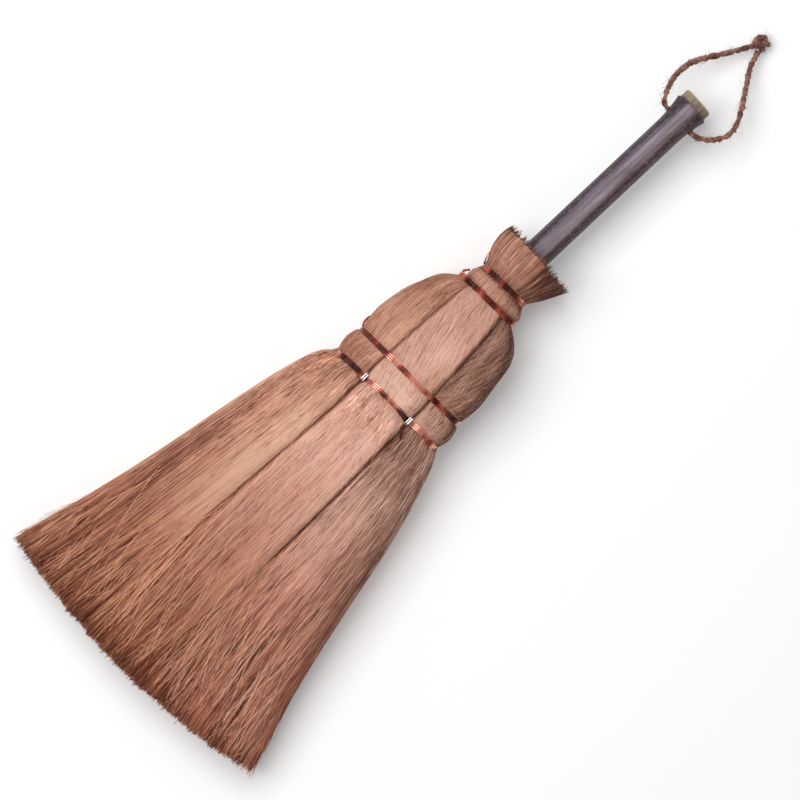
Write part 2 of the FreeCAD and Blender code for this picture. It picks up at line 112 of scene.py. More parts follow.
# Random heights at the corners of a lattice, eased between them and joined round: 0 to 1
def latticeNoise(across, along, cells, steps, seed):
    heights = np.random.default_rng(seed).random((steps + 2, cells))
    column = (across % 1) * cells
    row = np.clip(along, 0, 1) * steps
    c, r = np.floor(column).astype(int), np.floor(row).astype(int)
    u, v = column - c, row - r
    u, v = u * u * (3 - 2 * u), v * v * (3 - 2 * v)
    return between(heights, r, c % cells, (c + 1) % cells, u, v)


def lineNoise(share, cells, seed):     # the same along a single line
    return latticeNoise(share, share * 0, cells, 1, seed)


def unit(vectors):
    return vectors / np.maximum(np.linalg.norm(vectors, axis=-1, keepdims=True), 1e-9)


# Meshes
def meshPiece(name, verts, faces, smooth=True):
    mesh = bpy.data.meshes.new(name)
    loops = np.concatenate([f.ravel() for f in faces])
    sizes = np.concatenate([np.full(len(f), f.shape[1]) for f in faces])
    mesh.vertices.add(len(verts))
    mesh.loops.add(len(loops))
    mesh.polygons.add(len(sizes))
    mesh.vertices.foreach_set("co", (verts * mm).astype(np.float32).ravel())
    mesh.loops.foreach_set("vertex_index", loops.astype(np.int32))
    mesh.polygons.foreach_set("loop_start", (np.cumsum(sizes) - sizes).astype(np.int32))
    mesh.polygons.foreach_set("use_smooth", np.full(len(sizes), smooth))
    mesh.update(calc_edges=True)
    mesh.validate()
    piece = bpy.data.objects.new(name, mesh)
    bpy.context.scene.collection.objects.link(piece)
    return piece


def addValue(piece, name, values):     # a number for each vertex, for the materials
    layer = piece.data.attributes.new(name, "FLOAT", "POINT")
    layer.data.foreach_set("value", values.astype(np.float32).ravel())


def addMap(piece, name, places):     # a place on a flat map for each face corner
    layer = piece.data.uv_layers.new(name=name)
    layer.data.foreach_set("uv", places.astype(np.float32).ravel())


# A grid of points, rows along +X and columns round from +Y by +Z, with a fan over each end.
# Its fibre map has the share of the way round and the length along in decimetres.
def gridPiece(name, grid, smooth=True):
    rows, columns = grid.shape[:2]
    r, c = np.meshgrid(np.arange(rows - 1), np.arange(columns), indexing="ij")
    after = (c + 1) % columns
    quads = np.stack([r * columns + c, r * columns + after,
                      (r + 1) * columns + after, (r + 1) * columns + c], -1).reshape(-1, 4)
    ring = np.arange(columns)
    turn = (ring + 1) % columns
    last = (rows - 1) * columns
    hub = np.full(columns, rows * columns)
    fans = np.concatenate([np.stack([hub, turn, ring], -1),
                           np.stack([hub + 1, last + ring, last + turn], -1)])
    verts = np.concatenate([grid.reshape(-1, 3), grid[:1].mean(1), grid[-1:].mean(1)])
    piece = meshPiece(name, verts, [quads, fans], smooth)
    u = np.stack([c, c + 1, c + 1, c], -1).reshape(-1) / columns
    fanU = np.concatenate([np.stack([ring, ring + 1, ring], -1), np.stack([ring, ring, ring + 1], -1)])
    loops = np.concatenate([quads.ravel(), fans.ravel()])
    places = np.stack([np.concatenate([u, fanU.ravel() / columns]), verts[loops, 0] / 100], -1)
    addMap(piece, "fibre", places)
    return piece


# Tubes along many paths at once: at each point a ring of sides, square to the path.
# The bake map gives each tube a cell of its own, its sides laid over each other.
def tubePiece(name, paths, radii, sides=3, reference=upwards, tones=None, along=None):
    count, rings = paths.shape[:2]
    tangent = unit(np.gradient(paths, axis=1))
    side = unit(np.cross(tangent, reference))
    over = np.cross(tangent, side)
    angle = np.arange(sides) * full / sides
    ring = np.cos(angle)[:, None] * side[:, :, None] + np.sin(angle)[:, None] * over[:, :, None]
    verts = (paths[:, :, None] + radii[:, :, None, None] * ring).reshape(-1, 3)
    n, i, k = np.meshgrid(np.arange(count), np.arange(rings - 1), np.arange(sides), indexing="ij")
    base = (n * rings + i) * sides
    after = (k + 1) % sides
    quads = np.stack([base + k, base + after, base + sides + after, base + sides + k], -1).reshape(-1, 4)
    first = (np.arange(count) * rings * sides)[:, None]
    lastRing = first + (rings - 1) * sides
    caps = np.concatenate([first + np.arange(sides)[::-1], lastRing + np.arange(sides)])
    piece = meshPiece(name, verts, [quads, caps])
    tones = np.full(count, 0.5) if tones is None else tones
    addValue(piece, "tone", np.repeat(np.broadcast_to(tones.reshape(count, -1), (count, rings)), sides))
    along = np.linspace(0, 1, rings) if along is None else along
    addValue(piece, "along", np.repeat(np.broadcast_to(along, (count, rings)), sides))
    if count > 20:
        addMap(piece, "OFBake", cellMap(count, rings, sides))
    return piece


def cellMap(count, rings, sides):
    cellRows = max(1, int(np.sqrt(count / 14)))
    cellColumns = -(-count // cellRows)
    n, i, k = np.meshgrid(np.arange(count), np.arange(rings - 1), np.arange(sides), indexing="ij")
    u = np.stack([0 * k + 0.15, 0 * k + 0.85, 0 * k + 0.85, 0 * k + 0.15], -1)
    v = 0.06 + 0.88 * np.stack([i, i, i + 1, i + 1], -1) / (rings - 1)
    quads = np.stack([(n[..., None] // cellRows + u) / cellColumns,
                      (n[..., None] % cellRows + v) / cellRows], -1).reshape(-1, 2)
    angle = np.arange(sides) * full / sides
    disc = np.stack([0.5 + 0.34 * np.cos(angle), 0.03 + 0.025 * np.sin(angle)], -1)
    cell = np.stack([np.arange(count) // cellRows, np.arange(count) % cellRows], -1)[:, None]
    foot = (cell + disc[::-1]) / [cellColumns, cellRows]
    head = (cell + disc + [0, 0.94]) / [cellColumns, cellRows]
    return np.concatenate([quads, foot.reshape(-1, 2), head.reshape(-1, 2)])


# Materials
def seen(red, green, blue):     # a colour as the eye reads it, 0 to 255, as linear light
    share = np.array([red, green, blue]) / 255
    linear = np.where(share < 0.04045, share / 12.92, ((share + 0.055) / 1.055) ** 2.4)
    return (*linear.tolist(), 1.0)


def newMaterial(name, roughness, **constants):
    material = bpy.data.materials.new(name)
    material.use_nodes = True
    tree = material.node_tree
    shader = tree.nodes["Principled BSDF"]
    shader.inputs["Roughness"].default_value = roughness
    for socket, value in constants.items():
        shader.inputs[socket.replace("_", " ")].default_value = value
    return material, tree, shader


def feed(tree, socket, value):     # a link from another node, or a fixed value
    if isinstance(value, bpy.types.NodeSocket):
        tree.links.new(value, socket)
    else:
        socket.default_value = value


def node(tree, kind, inputs=None, **settings):
    made = tree.nodes.new("ShaderNode" + kind)
    for key, value in settings.items():
        setattr(made, key, value)
    for key, value in (inputs or {}).items():
        feed(tree, made.inputs[key], value)
    return made


def ramp(tree, factor, stops):     # colours along a factor from 0 to 1
    made = node(tree, "ValToRGB", {"Fac": factor})
    elements = made.color_ramp.elements
    while len(elements) < len(stops):
        elements.new(0.5)
    for element, (place, colour) in zip(elements, stops):
        element.position = place
        element.color = colour
    return made.outputs["Color"]


def mixed(tree, factor, first, second, blend="MIX"):
    made = node(tree, "Mix", data_type="RGBA", blend_type=blend)
    for key, value in (("Factor_Float", factor), ("A_Color", first), ("B_Color", second)):
        feed(tree, next(s for s in made.inputs if s.identifier == key), value)
    return next(s for s in made.outputs if s.identifier == "Result_Color")


def maths(tree, operation, first, second):
    return node(tree, "Math", {0: first, 1: second}, operation=operation).outputs["Value"]


def spread(tree, value, given, wanted=(0.0, 1.0)):     # one range of values stretched to another
    return node(tree, "MapRange", {"Value": value, "From Min": given[0], "From Max": given[1],
                                   "To Min": wanted[0], "To Max": wanted[1]}).outputs["Result"]


def carried(tree, name):     # the number that the mesh carries under a name
    return node(tree, "Attribute", attribute_name=name).outputs["Fac"]


def objectPlace(tree):
    return node(tree, "TexCoord").outputs["Object"]


# Noise at places that are turned first, then stretched
def noise(tree, vector, scale, detail=2.0, roughness=0.5, turn=0.0):
    places = node(tree, "Mapping", {"Vector": vector, "Scale": tuple(1 / s for s in scale),
                                    "Rotation": (0, 0, turn)}, vector_type="TEXTURE").outputs["Vector"]
    return node(tree, "TexNoise", {"Vector": places, "Scale": 1.0, "Detail": detail,
                                   "Roughness": roughness}).outputs["Fac"]


def fibreRamp(tree, level, colours):     # dark, middle and light, as seen
    return ramp(tree, level, [(place, seen(*c)) for place, c in zip((0.05, 0.5, 0.95), colours)])


def finished(tree, shader, colour, height=None, strength=0.3, distance=0.2):
    tree.links.new(colour, shader.inputs["Base Color"])
    if height is not None:
        bump = node(tree, "Bump", {"Height": height, "Strength": strength, "Distance": distance * mm})
        tree.links.new(bump.outputs["Normal"], shader.inputs["Normal"])


# Bark and combed fibre: three layers of fine lines along the fibre map, leaning by some
# millimetres across for each along and two of them askew, over broad streaks, made lighter
# or darker by the tone that the mesh carries
def barkMaterial(name, colours, lean=0.0, askew=0.05, lines=230):
    material, tree, shader = newMaterial(name, 0.66, Specular_IOR_Level=0.2)
    fibre = node(tree, "UVMap", uv_map="fibre").outputs["UV"]
    turn = 0.75 * lean
    straight = noise(tree, fibre, (lines, 6, 1), 3.0, 0.65, turn)
    leftward = noise(tree, fibre, (1.2 * lines, 10, 1), 2.0, 0.5, turn + askew)
    rightward = noise(tree, fibre, (1.1 * lines, 9, 1), 2.0, 0.5, turn - 1.2 * askew)
    broad = noise(tree, fibre, (60, 3.0, 1), 2.0, 0.5, turn)
    dashes = maths(tree, "ADD", straight, maths(tree, "MINIMUM", leftward, rightward))
    height = spread(tree, dashes, (0.55, 1.27))
    level = maths(tree, "ADD", height, spread(tree, broad, (0, 1), (-0.14, 0.14)))
    level = maths(tree, "ADD", level, maths(tree, "ADD", carried(tree, "tone"), -0.5))
    finished(tree, shader, fibreRamp(tree, level, colours), height, 0.14, 0.12)
    return material


# Single fibres: the mesh carries each one's tone, and they take on a tint towards the tips
def strandMaterial(name, colours, tint):
    material, tree, shader = newMaterial(name, 0.6, Specular_IOR_Level=0.25)
    mottle = noise(tree, objectPlace(tree), (90, 420, 420))
    level = maths(tree, "ADD", carried(tree, "tone"), spread(tree, mottle, (0, 1), (-0.3, 0.3)))
    colour = fibreRamp(tree, level, colours)
    reach = spread(tree, carried(tree, "along"), (0.2, 0.9), (0.0, 0.8))
    finished(tree, shader, mixed(tree, reach, colour, mixed(tree, 1.0, colour, (*tint, 1), "MULTIPLY")))
    return material


def dress(piece, material, body="head", replaced=()):
    piece.data.materials.clear()
    piece.data.materials.append(material)
    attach(piece, body)
    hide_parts(*replaced)
    return piece


# Camera: straight down on the broom, turned so that the handle points up and to the right
cameraView = {
    "middle": (-9.0, -5.0),     # mm, the spot under the middle of the picture
    "width": 400.0,             # mm across the picture, at the broom's mid height
    "turn": -45.0,              # degrees
    "lens": 260.0,
    "sensor": 36.0,
}


def setCamera(view):
    data = bpy.data.cameras.new("camera")
    data.lens = view["lens"]
    data.sensor_width = view["sensor"]
    camera = bpy.data.objects.new("camera", data)
    distance = view["width"] * view["lens"] / view["sensor"]
    camera.location = np.array([*view["middle"], axisHeight + distance]) * mm
    camera.rotation_euler = (0, 0, np.radians(view["turn"]))
    bpy.context.scene.collection.objects.link(camera)
    bpy.context.scene.camera = camera


setCamera(cameraView)


# Hang loop: two-ply palm twine through the culm, its legs tied in a knot
twine = {
    "diameter": 2.6,
    "girth": 3.1,              # over the plies, where the twine lies free
    "plyShare": 0.56,          # a ply's diameter, of the girth
    "twist": 8.6,              # mm along for one turn
    "mouth": 8.0,              # where a leg starts, from the culm's axis
    "lead": 3.2,
    "leftPoints": ((193.0, 9.3, 20.8), (199.6, 11.8, 18.9), (206.5, 12.7, 16.8), (213.0, 11.8, 14.8),
                   (219.1, 8.9, 12.7), (225.7, 4.9, 10.3), (233.6, 0.1, 7.8), (242.6, -4.7, 5.4)),
    "rightPoints": ((190.5, -20.6, 20.9), (194.5, -24.6, 19.5), (199.4, -27.3, 17.9),
                    (204.6, -27.8, 16.3), (209.8, -26.1, 14.7), (215.4, -22.9, 12.9),
                    (221.8, -18.9, 10.9), (228.2, -14.6, 8.8), (234.9, -10.6, 6.9), (242.4, -8.3, 5.2)),
    "leftLength": 0.0648,
    "rightLength": 0.0695,
    "leftSwell": 0.24,         # how much thicker its unevenly spun stretch is
    "rightSwell": 0.0,
    "hairs": 320,              # loose hairs on each leg
    "knotHeading": (57.5, -1.5, -17.0),
    "knotSize": (3.3, 3.0, 2.4),     # mm to each side, over and along its heading
    "knotGirth": 2.9,
    "knotTwist": 5.2,
    "knotHairs": 150,
    "knotHairLength": 3.0,
}


# A smooth line with the given points as its control points, read back as evenly spaced points
def splineLine(points, count):
    data = bpy.data.curves.new("route", "CURVE")
    data.dimensions = "3D"
    data.resolution_u = 24
    spline = data.splines.new("NURBS")
    spline.points.add(len(points) - 1)
    for place, point in zip(spline.points, points):
        place.co = (*point, 1)
    spline.order_u = 3
    spline.use_endpoint_u = True
    holder = bpy.data.objects.new("route", data)
    mesh = bpy.data.meshes.new_from_object(holder)
    line = np.zeros(len(mesh.vertices) * 3)
    mesh.vertices.foreach_get("co", line)
    bpy.data.meshes.remove(mesh)
    bpy.data.curves.remove(data)
    return evenly(line.reshape(-1, 3), count)


# Plies wind about a line: a circle round it that turns steadily with the length run
def pliesAbout(line, plies, offset, pitch, reference, seed):
    tangent = unit(np.gradient(line, axis=0))
    side = unit(np.cross(tangent, reference))
    over = np.cross(tangent, side)
    run = np.concatenate([[0], np.cumsum(np.linalg.norm(np.diff(line, axis=0), axis=1))])
    share = run / run[-1]
    wobble = 2.6 * (lineNoise(share, 23, seed) - 0.5)
    turn = full * run / pitch + wobble + np.arange(plies)[:, None] * full / plies
    swell = offset * (0.92 + 0.16 * lineNoise(share, 41, seed + 1))
    return line + swell[:, None] * (np.cos(turn)[..., None] * side + np.sin(turn)[..., None] * over)


def twistedPiece(name, line, diameter, plyShare, pitch, reference, seed, swell=0.0):
    ply = diameter * plyShare / 2
    paths = pliesAbout(line, 2, diameter / 2 - ply, pitch, reference, seed)
    across = np.linspace(0, 1, paths.shape[1])
    lumps = 0.62 + 0.42 * lineNoise(across, 11, seed + 2) + 0.32 * lineNoise(across, 43, seed + 3)
    thicker = 1 + swell * np.exp(-((across - 0.55) / 0.2) ** 4)
    return tubePiece(name, paths, ply * thicker * np.stack([lumps, lumps[::-1]]), 9, reference)


# Hairs leave the twine near its surface, lean along it and curl a little
def hairPiece(name, line, diameter, hairs, seed, longest=4.0):
    draw = np.random.default_rng(seed)
    start = draw.integers(1, len(line) - 1, hairs)
    tangent = unit(np.gradient(line, axis=0))[start]
    out = unit(np.cross(tangent, draw.normal(size=(hairs, 3))))
    bend = unit(np.cross(tangent, out))
    long = 0.5 + draw.random(hairs)[:, None, None] ** 3 * longest
    lean = draw.uniform(-2, 2, hairs)[:, None, None]
    curl = draw.normal(0, 0.8, hairs)[:, None, None]
    run = np.linspace(0, 1, 5)[None, :, None]
    paths = (line[start][:, None] + out[:, None] * (diameter * 0.36 + long * run * 0.62)
             + tangent[:, None] * lean * long * run + bend[:, None] * curl * long * run ** 2)
    paths[..., 2] = np.maximum(paths[..., 2], 0.15)
    radii = 0.085 * (1 - 0.6 * run[..., 0]) * np.ones((hairs, 1))
    return tubePiece(name, paths, radii, 3, np.array([0.31, 0.22, 0.92]), draw.random(hairs))


def twineMaterial():
    material, tree, shader = newMaterial("palm_twine", 0.75, Specular_IOR_Level=0.2)
    place = objectPlace(tree)
    fine = noise(tree, place, (900, 900, 900), 4.0, 0.7)
    broad = noise(tree, place, (160, 160, 160))
    level = spread(tree, maths(tree, "ADD", fine, broad), (0.5, 1.5))
    colour = ramp(tree, level, [(0.25, seen(66, 42, 36)), (0.5, seen(132, 92, 80)),
                                (0.8, seen(184, 142, 126))])
    shade = ramp(tree, carried(tree, "tone"), [(0, (0.7, 0.68, 0.66, 1)), (1, (1.25, 1.22, 1.2, 1))])
    finished(tree, shader, mixed(tree, 1.0, colour, shade, "MULTIPLY"), fine, 0.8, 0.3)
    return material


# The knot's line goes three times round and through itself, as an overhand knot pulled tight
def knotLine(place, heading, size, count=240):
    turn = np.linspace(0, full, count)
    reach = (2 + np.cos(3 * turn)) / 3
    ahead = unit(np.array(heading))
    side = unit(np.cross(upwards, ahead))
    over = np.cross(ahead, side)
    flat = np.stack([reach * np.cos(2 * turn), reach * np.sin(2 * turn), np.sin(3 * turn)], -1) * size
    return place + flat[:, :1] * side + flat[:, 1:2] * over + flat[:, 2:] * ahead


def besideHole(reach):
    return holePoint + acrossHandle * reach


def makeHangLoop(values):
    material = twineMaterial()
    diameter, girth, plyShare, twist = (values[key] for key in ("diameter", "girth", "plyShare", "twist"))

    def onLoop(piece, *replaced):
        return dress(piece, material, "hang_loop", replaced)

    through = np.linspace(besideHole(values["mouth"]), besideHole(-values["mouth"]), 40)
    onLoop(twistedPiece("twine_through", through, diameter, plyShare, twist, upwards, 3), "cord_through")
    place = sum(boxOf("cord_knot")) / 2
    heading = values["knotHeading"]
    line = knotLine(place, heading, values["knotSize"])
    knot = twistedPiece("twine_knot", line, values["knotGirth"], plyShare, values["knotTwist"], heading, 5)
    onLoop(knot, "cord_knot")
    around = line + unit(line - place) * 0.5
    onLoop(hairPiece("twine_knot_hairs", around, diameter, values["knotHairs"], 6, values["knotHairLength"]))
    for name, side in (("left", 1), ("right", -1)):
        mouth = besideHole(side * values["mouth"])
        lead = besideHole(side * (values["mouth"] + values["lead"]))
        line = splineLine([mouth, lead, *values[name + "Points"]], 150)
        leg = twistedPiece("twine_leg_" + name, line, girth, plyShare, twist, upwards, 20 + side,
                           values[name + "Swell"])
        onLoop(leg, "cord_" + name + "_leg")
        hairs = onLoop(hairPiece("twine_hairs_" + name, line, girth, values["hairs"], 30 + side))
    print("hang loop of twine made")


makeHangLoop(twine)


# A bundle's section across the broom: four quarter circles joined by straight sides, from
# the middle of its underside round by +Y, spaced evenly by length
def sectionOutline(low, high, radii, columns):
    quarter = np.linspace(0, np.pi / 2, 13)
    sideways = np.array([1, 1, -1, -1])
    upright = np.array([-1, 1, 1, -1])
    reach = np.where(sideways > 0, high[:, :1], low[:, :1]) - sideways * radii
    height = np.where(upright > 0, high[:, 1:], low[:, 1:]) - upright * radii
    angle = quarter + np.arange(-1, 3)[:, None] * np.pi / 2
    y = reach[..., None] + radii[..., None] * np.cos(angle)
    z = height[..., None] + radii[..., None] * np.sin(angle)
    round4 = np.stack([y, z], -1).reshape(len(low), -1, 2)
    foot = np.stack([(low[:, 0] + high[:, 0]) / 2, low[:, 1]], -1)[:, None]
    lines = np.concatenate([foot, round4, foot], axis=1)
    return np.array([evenly(line, columns + 1)[:-1] for line in lines])


# A bundle's surface as sections at many places along X, with the outward way at each point
def bundleShell(x, halfWidth, leftGroove, rightGroove, lowZ, highZ, rounds, side, columns=300):
    gap = -0.35     # the bundles press into each other
    bounds = {1: (leftGroove + gap, halfWidth), 0: (gap - rightGroove, leftGroove - gap),
              -1: (-halfWidth, -rightGroove - gap)}[side]
    low = np.stack([bounds[0], lowZ], -1)
    high = np.stack([bounds[1], highZ], -1)
    lowInner, highInner, highOuter, lowOuter = rounds
    order = {1: (lowOuter, highOuter, highInner, lowInner), 0: (lowInner, highInner, highInner, lowInner),
             -1: (lowInner, highInner, highOuter, lowOuter)}[side]
    radii = np.stack(order, -1) * (np.minimum(high - low, (high - low)[:, ::-1]).min(1) / 2)[:, None]
    outline = sectionOutline(low, high, radii, columns)
    way = np.roll(outline, -1, axis=1) - np.roll(outline, 1, axis=1)
    out = unit(np.stack([way[..., 1], -way[..., 0]], -1))
    return {"x": x, "data": np.concatenate([outline, out], -1), "left": leftGroove, "right": rightGroove}


def creaseNear(shell, x, y, width):     # 1 in a groove between bundles, fading away from it: where shade is painted in the grooves
    left = np.abs(y - np.interp(x, shell["x"], shell["left"]))
    right = np.abs(y + np.interp(x, shell["x"], shell["right"]))
    return np.exp(-(np.minimum(left, right) / width) ** 2)


# The shell's point and outward way at any place along and share of the way round
def onShell(shell, x, share):
    data = shell["data"]
    rows, columns = data.shape[:2]
    row = np.interp(x, shell["x"], np.arange(rows))
    r = np.minimum(np.floor(row).astype(int), rows - 2)
    column = (share % 1) * columns
    c = np.floor(column).astype(int) % columns
    u, v = (column - np.floor(column))[..., None], (row - r)[..., None]
    value = between(data, r, c, (c + 1) % columns, u, v)
    return value[..., :2], unit(value[..., 2:])


# Loose bristles, from the binding wire down to the cut tips. Stations are shares of that way.
bristleShape = {
    "stations": (0, 0.025, 0.06, 0.104, 0.157, 0.22, 0.3, 0.426, 0.569, 0.731, 0.874, 1),
    "halfWidth": (34.2, 38.0, 41.0, 43.8, 47.1, 50.4, 54.1, 58.8, 64.4, 71.4, 79.2, 85.0),
    "leftWider": (0.3, 2.2, 2.3, 1.9, 1.4, 0.8, 0.3, 0.0, -0.2, -0.5, -1.0, -1.3),     # on the left only
    "leftGroove": (15.6, 15.6, 15.7, 15.9, 16.4, 17.3, 18.6, 20.5, 21.9, 22.5, 22.7, 22.7),
    "rightGroove": (15.6, 15.7, 15.8, 15.9, 16.0, 16.1, 16.2, 16.2, 16.2, 16.2, 16.2, 16.2),
    "lowZ": (7.6, 7.0, 6.2, 5.4, 3.4, 1.2, 0.3, 0.3, 0.3, 0.3, 0.3, 0.3),
    "highZ": (36.4, 37.2, 38.2, 39.0, 39.4, 39.5, 39.2, 37.6, 35.0, 31.4, 28.0, 25.2),
    "innerRound": (0.7, 0.56, 0.43, 0.36, 0.31, 0.29, 0.28, 0.27, 0.24, 0.18, 0.13, 0.1),
    "outerRound": (0.96, 0.96, 0.95, 0.94, 0.93, 0.92, 0.9, 0.87, 0.84, 0.8, 0.75, 0.7),
    "lowRound": (0.9, 0.9, 0.85, 0.8, 0.7, 0.55, 0.4, 0.32, 0.3, 0.3, 0.3, 0.3),
    "sideDrop": 0.06,           # how much lower the side bundles' tops are, as a share of their height
    "sagitta": 9.0,             # how far the cut edge's middle stands out past its corners
    "setback": 9.0,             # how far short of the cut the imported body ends
    "bendStart": -17.4,         # mm along X: above it the fibres keep to the head
    "bendEnd": -74.0,           # below it they follow their own brush
    "coat": 1800,               # fibres on each bundle's surface
    "coatThick": (0.16, 0.3),   # their radii in mm, from the thinnest to the thickest
    "coatLow": -135,            # mm along X, the lowest place where one comes to the surface
    "tips": 1500,               # fibres that fill each bundle's cut end
    "tipThick": (0.2, 0.34),
    "tipLength": (26, 44),
    "felt": 6500,               # short fibres felted onto each bundle
    "feltThick": (0.112, 0.224),
    "feltRise": 0.16,           # how far their ends may lift
    "feltLow": -150,            # mm along X, where the felt ends
    "strays": 220,              # fibres that cross over each bundle's top
    "strayThick": (0.15, 0.28),
    "strayFrom": (-178, -98),   # mm along X, where they leave their bundle
    "strayTo": (-212, -178),    # and where they end
    "strayShortest": 22,
    "edgeEnds": 110,            # loose ends past each outer edge
    "edgeThick": (0.11, 0.19),
    "edgeSpring": 3.4,          # how far they may spring out
}


def bristleShell(values, side, count=120):
    share = np.linspace(1, 0, count)
    x = bindingX + (tipX - bindingX) * share
    table = {key: eased(share, values["stations"], values[key]) for key in (
        "halfWidth", "leftWider", "leftGroove", "rightGroove", "lowZ", "highZ", "innerRound", "outerRound",
        "lowRound")}
    halfWidth = table["halfWidth"] + max(side, 0) * table["leftWider"]
    drop = values["sideDrop"] * abs(side) * (1 - share ** 2)
    highZ = table["highZ"] - drop * (table["highZ"] - axisHeight) * 2
    rounds = (table["lowRound"], table["innerRound"], table["outerRound"], table["lowRound"])
    return bundleShell(x, halfWidth, table["leftGroove"], table["rightGroove"], table["lowZ"], highZ,
                       rounds, side)


def cutEdge(y, values):     # the cut is an arc across the tips
    half = values["halfWidth"][-1]
    radius = (half ** 2 + values["sagitta"] ** 2) / (2 * values["sagitta"])
    return tipX + radius - np.sqrt(np.maximum(radius ** 2 - y ** 2, 0))


# Locks of fibre stand up in ridges that run down the bundle and deepen towards the tips
def lockDepth(along):
    return 0.14 + 1.5 * along ** 1.8


def lockRelief(share, along, seed):
    wide = latticeNoise(share + 0.004 * np.sin(along * 9), along, 46, 4, seed)
    fine = latticeNoise(share, along, 150, 8, seed + 1)
    return 0.6 * wide + 0.4 * fine - 0.6


def lockTips(share, seed):     # how far each lock ends past or short of the cut
    return 1.7 + 1.5 * (lineNoise(share, 30, seed + 2) - 0.5) + 1.1 * (lineNoise(share, 150, seed + 3) - 0.5)


# Broad pale and dark bands on a bundle: soft humps, each at a share of the way round and a share
# of the way along, and noise
def bandTone(share, along, bands, seed):
    tone = 0.62 - 0.2 * np.clip(along, 0, 1) + 0.24 * (latticeNoise(share, along, 30, 3, seed + 4) - 0.5)
    for middle, width, place, reach, shift in bands:
        tone = tone + shift * np.exp(-((share % 1 - middle) / width) ** 2 - ((along - place) / reach) ** 2)
    return tone


def lowShade(along):     # from 0 to 1 near the tips, where the fibres part: painted shade between them
    share = np.clip((along - 0.48) / 0.3, 0, 1)
    return share * share * (3 - 2 * share)


def grooveShade(shell, x, y, along):     # painted shade in the grooves, which close up towards the tips
    return 0.75 * np.clip((0.85 - along) / 0.3, 0, 1) * creaseNear(shell, x, y, 0.85)


def withX(x, yz):
    return np.concatenate([x[..., None], yz], -1)


def tapered(draw, radii, count, run, taper=0.35):     # each fibre's own radius, thinner towards its end
    return draw.uniform(*radii, (count, 1)) * (1 - taper * run ** 3)


# Fibres as thin tubes of three sides, kept off the table
def strandPiece(name, paths, thick, tone, along=None, lowest=0.3):
    paths[..., 2] = np.maximum(paths[..., 2], lowest)
    return tubePiece(name, paths, thick, 3, upwards, tone, along)


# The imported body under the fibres: the bundle's surface with its locks, drawn in at the cut end
def fibreBody(shell, values, name, bands, seed):
    columns, rows = 320, 64
    share = (np.arange(columns) + 0.5) / columns
    endYz, _ = onShell(shell, np.full(columns, tipX), share)
    end = cutEdge(endYz[:, 0], values) + values["setback"]
    start = bindingX + 1.5
    along = np.linspace(1, 0, rows)[:, None]
    x = start + (end - start) * along
    both, along = np.broadcast_arrays(share, along + 0 * x)
    yz, out = onShell(shell, x, both)
    relief = lockRelief(both, along, seed)
    yz = yz + out * (lockDepth(along) * relief - 0.2 - 0.5 * along)[..., None]
    middle = yz.mean(axis=1, keepdims=True)
    closing = np.clip((along - 0.93) / 0.07, 0, 1)[..., None]
    yz = middle + (yz - middle) * (1 - 0.16 * closing ** 2)
    yz[..., 1] = np.maximum(yz[..., 1], 0.25)
    piece = gridPiece(name, withX(x, yz))
    # Painted shade: darker in the hollows between locks, in the grooves, and near the tips where the fibres
    # part
    tone = bandTone(both, along, bands, seed) + 0.5 * relief * along - 0.7 * lowShade(along)
    tone = tone - grooveShade(shell, x, yz[..., 0], along)
    addValue(piece, "tone", np.concatenate([tone.ravel(), [0.2, 0.2]]))
    return piece


# Fibres laid on the bundle's surface, each at its own share of the way round, wandering more
# towards the tips and ending where its lock was cut
def fibreCoat(shell, values, name, bands, seed):
    draw = np.random.default_rng(seed + 5)
    count = values["coat"]
    share0 = ((np.arange(count) + draw.random(count)) / count)[:, None]
    run = np.linspace(0, 1, 13)[None] ** 0.85
    clump = 0.03 * (lineNoise(share0, 70, seed + 11) - 0.5)
    drift = draw.normal(0, 0.014, (count, 1)) * run ** 1.7 + clump * run ** 2.2
    wave = run * draw.uniform(0.6, 1.6, (count, 1)) + draw.random((count, 1))
    share = share0 + drift + 0.004 * np.sin(full * wave) * run
    endYz, _ = onShell(shell, np.full(count, tipX), share[:, -1])
    end = cutEdge(endYz[:, 0], values) + lockTips(share[:, -1], seed) + draw.normal(0, 0.9, count)
    late = draw.random(count) < 0.75     # these come to the surface on the way down
    start = np.where(late, draw.uniform(values["coatLow"], bindingX - 10, count),
                     bindingX + draw.uniform(0.2, 2.2, count))
    x = start[:, None] + (end - start)[:, None] * run
    yz, out = onShell(shell, x, share)
    along = (x - bindingX) / (tipX - bindingX)
    low = np.clip(along, 0, 1)
    relief = lockRelief(share, along, seed)
    rooted = np.where(late[:, None], -0.5 * np.clip(1 - run * 8, 0, 1), 0)
    lift = draw.uniform(-0.24, 0.04, (count, 1)) + rooted
    lift = lift + draw.uniform(-1.1, 1.0, (count, 1)) * low ** 2.4
    yz = yz + out * (lockDepth(low) * relief + lift)[..., None]
    thick = tapered(draw, values["coatThick"], count, run)
    tone = bandTone(share, along, bands, seed) + (draw.random((count, 1)) - 0.5) * (0.3 + 0.8 * run)
    # Painted shade: darker in the hollows between locks and in the grooves, and a little near the tips
    tone = tone + 0.6 * relief * along - grooveShade(shell, x, yz[..., 0], along) - 0.08 * lowShade(along)
    return strandPiece(name, withX(x, yz), thick, tone, along)


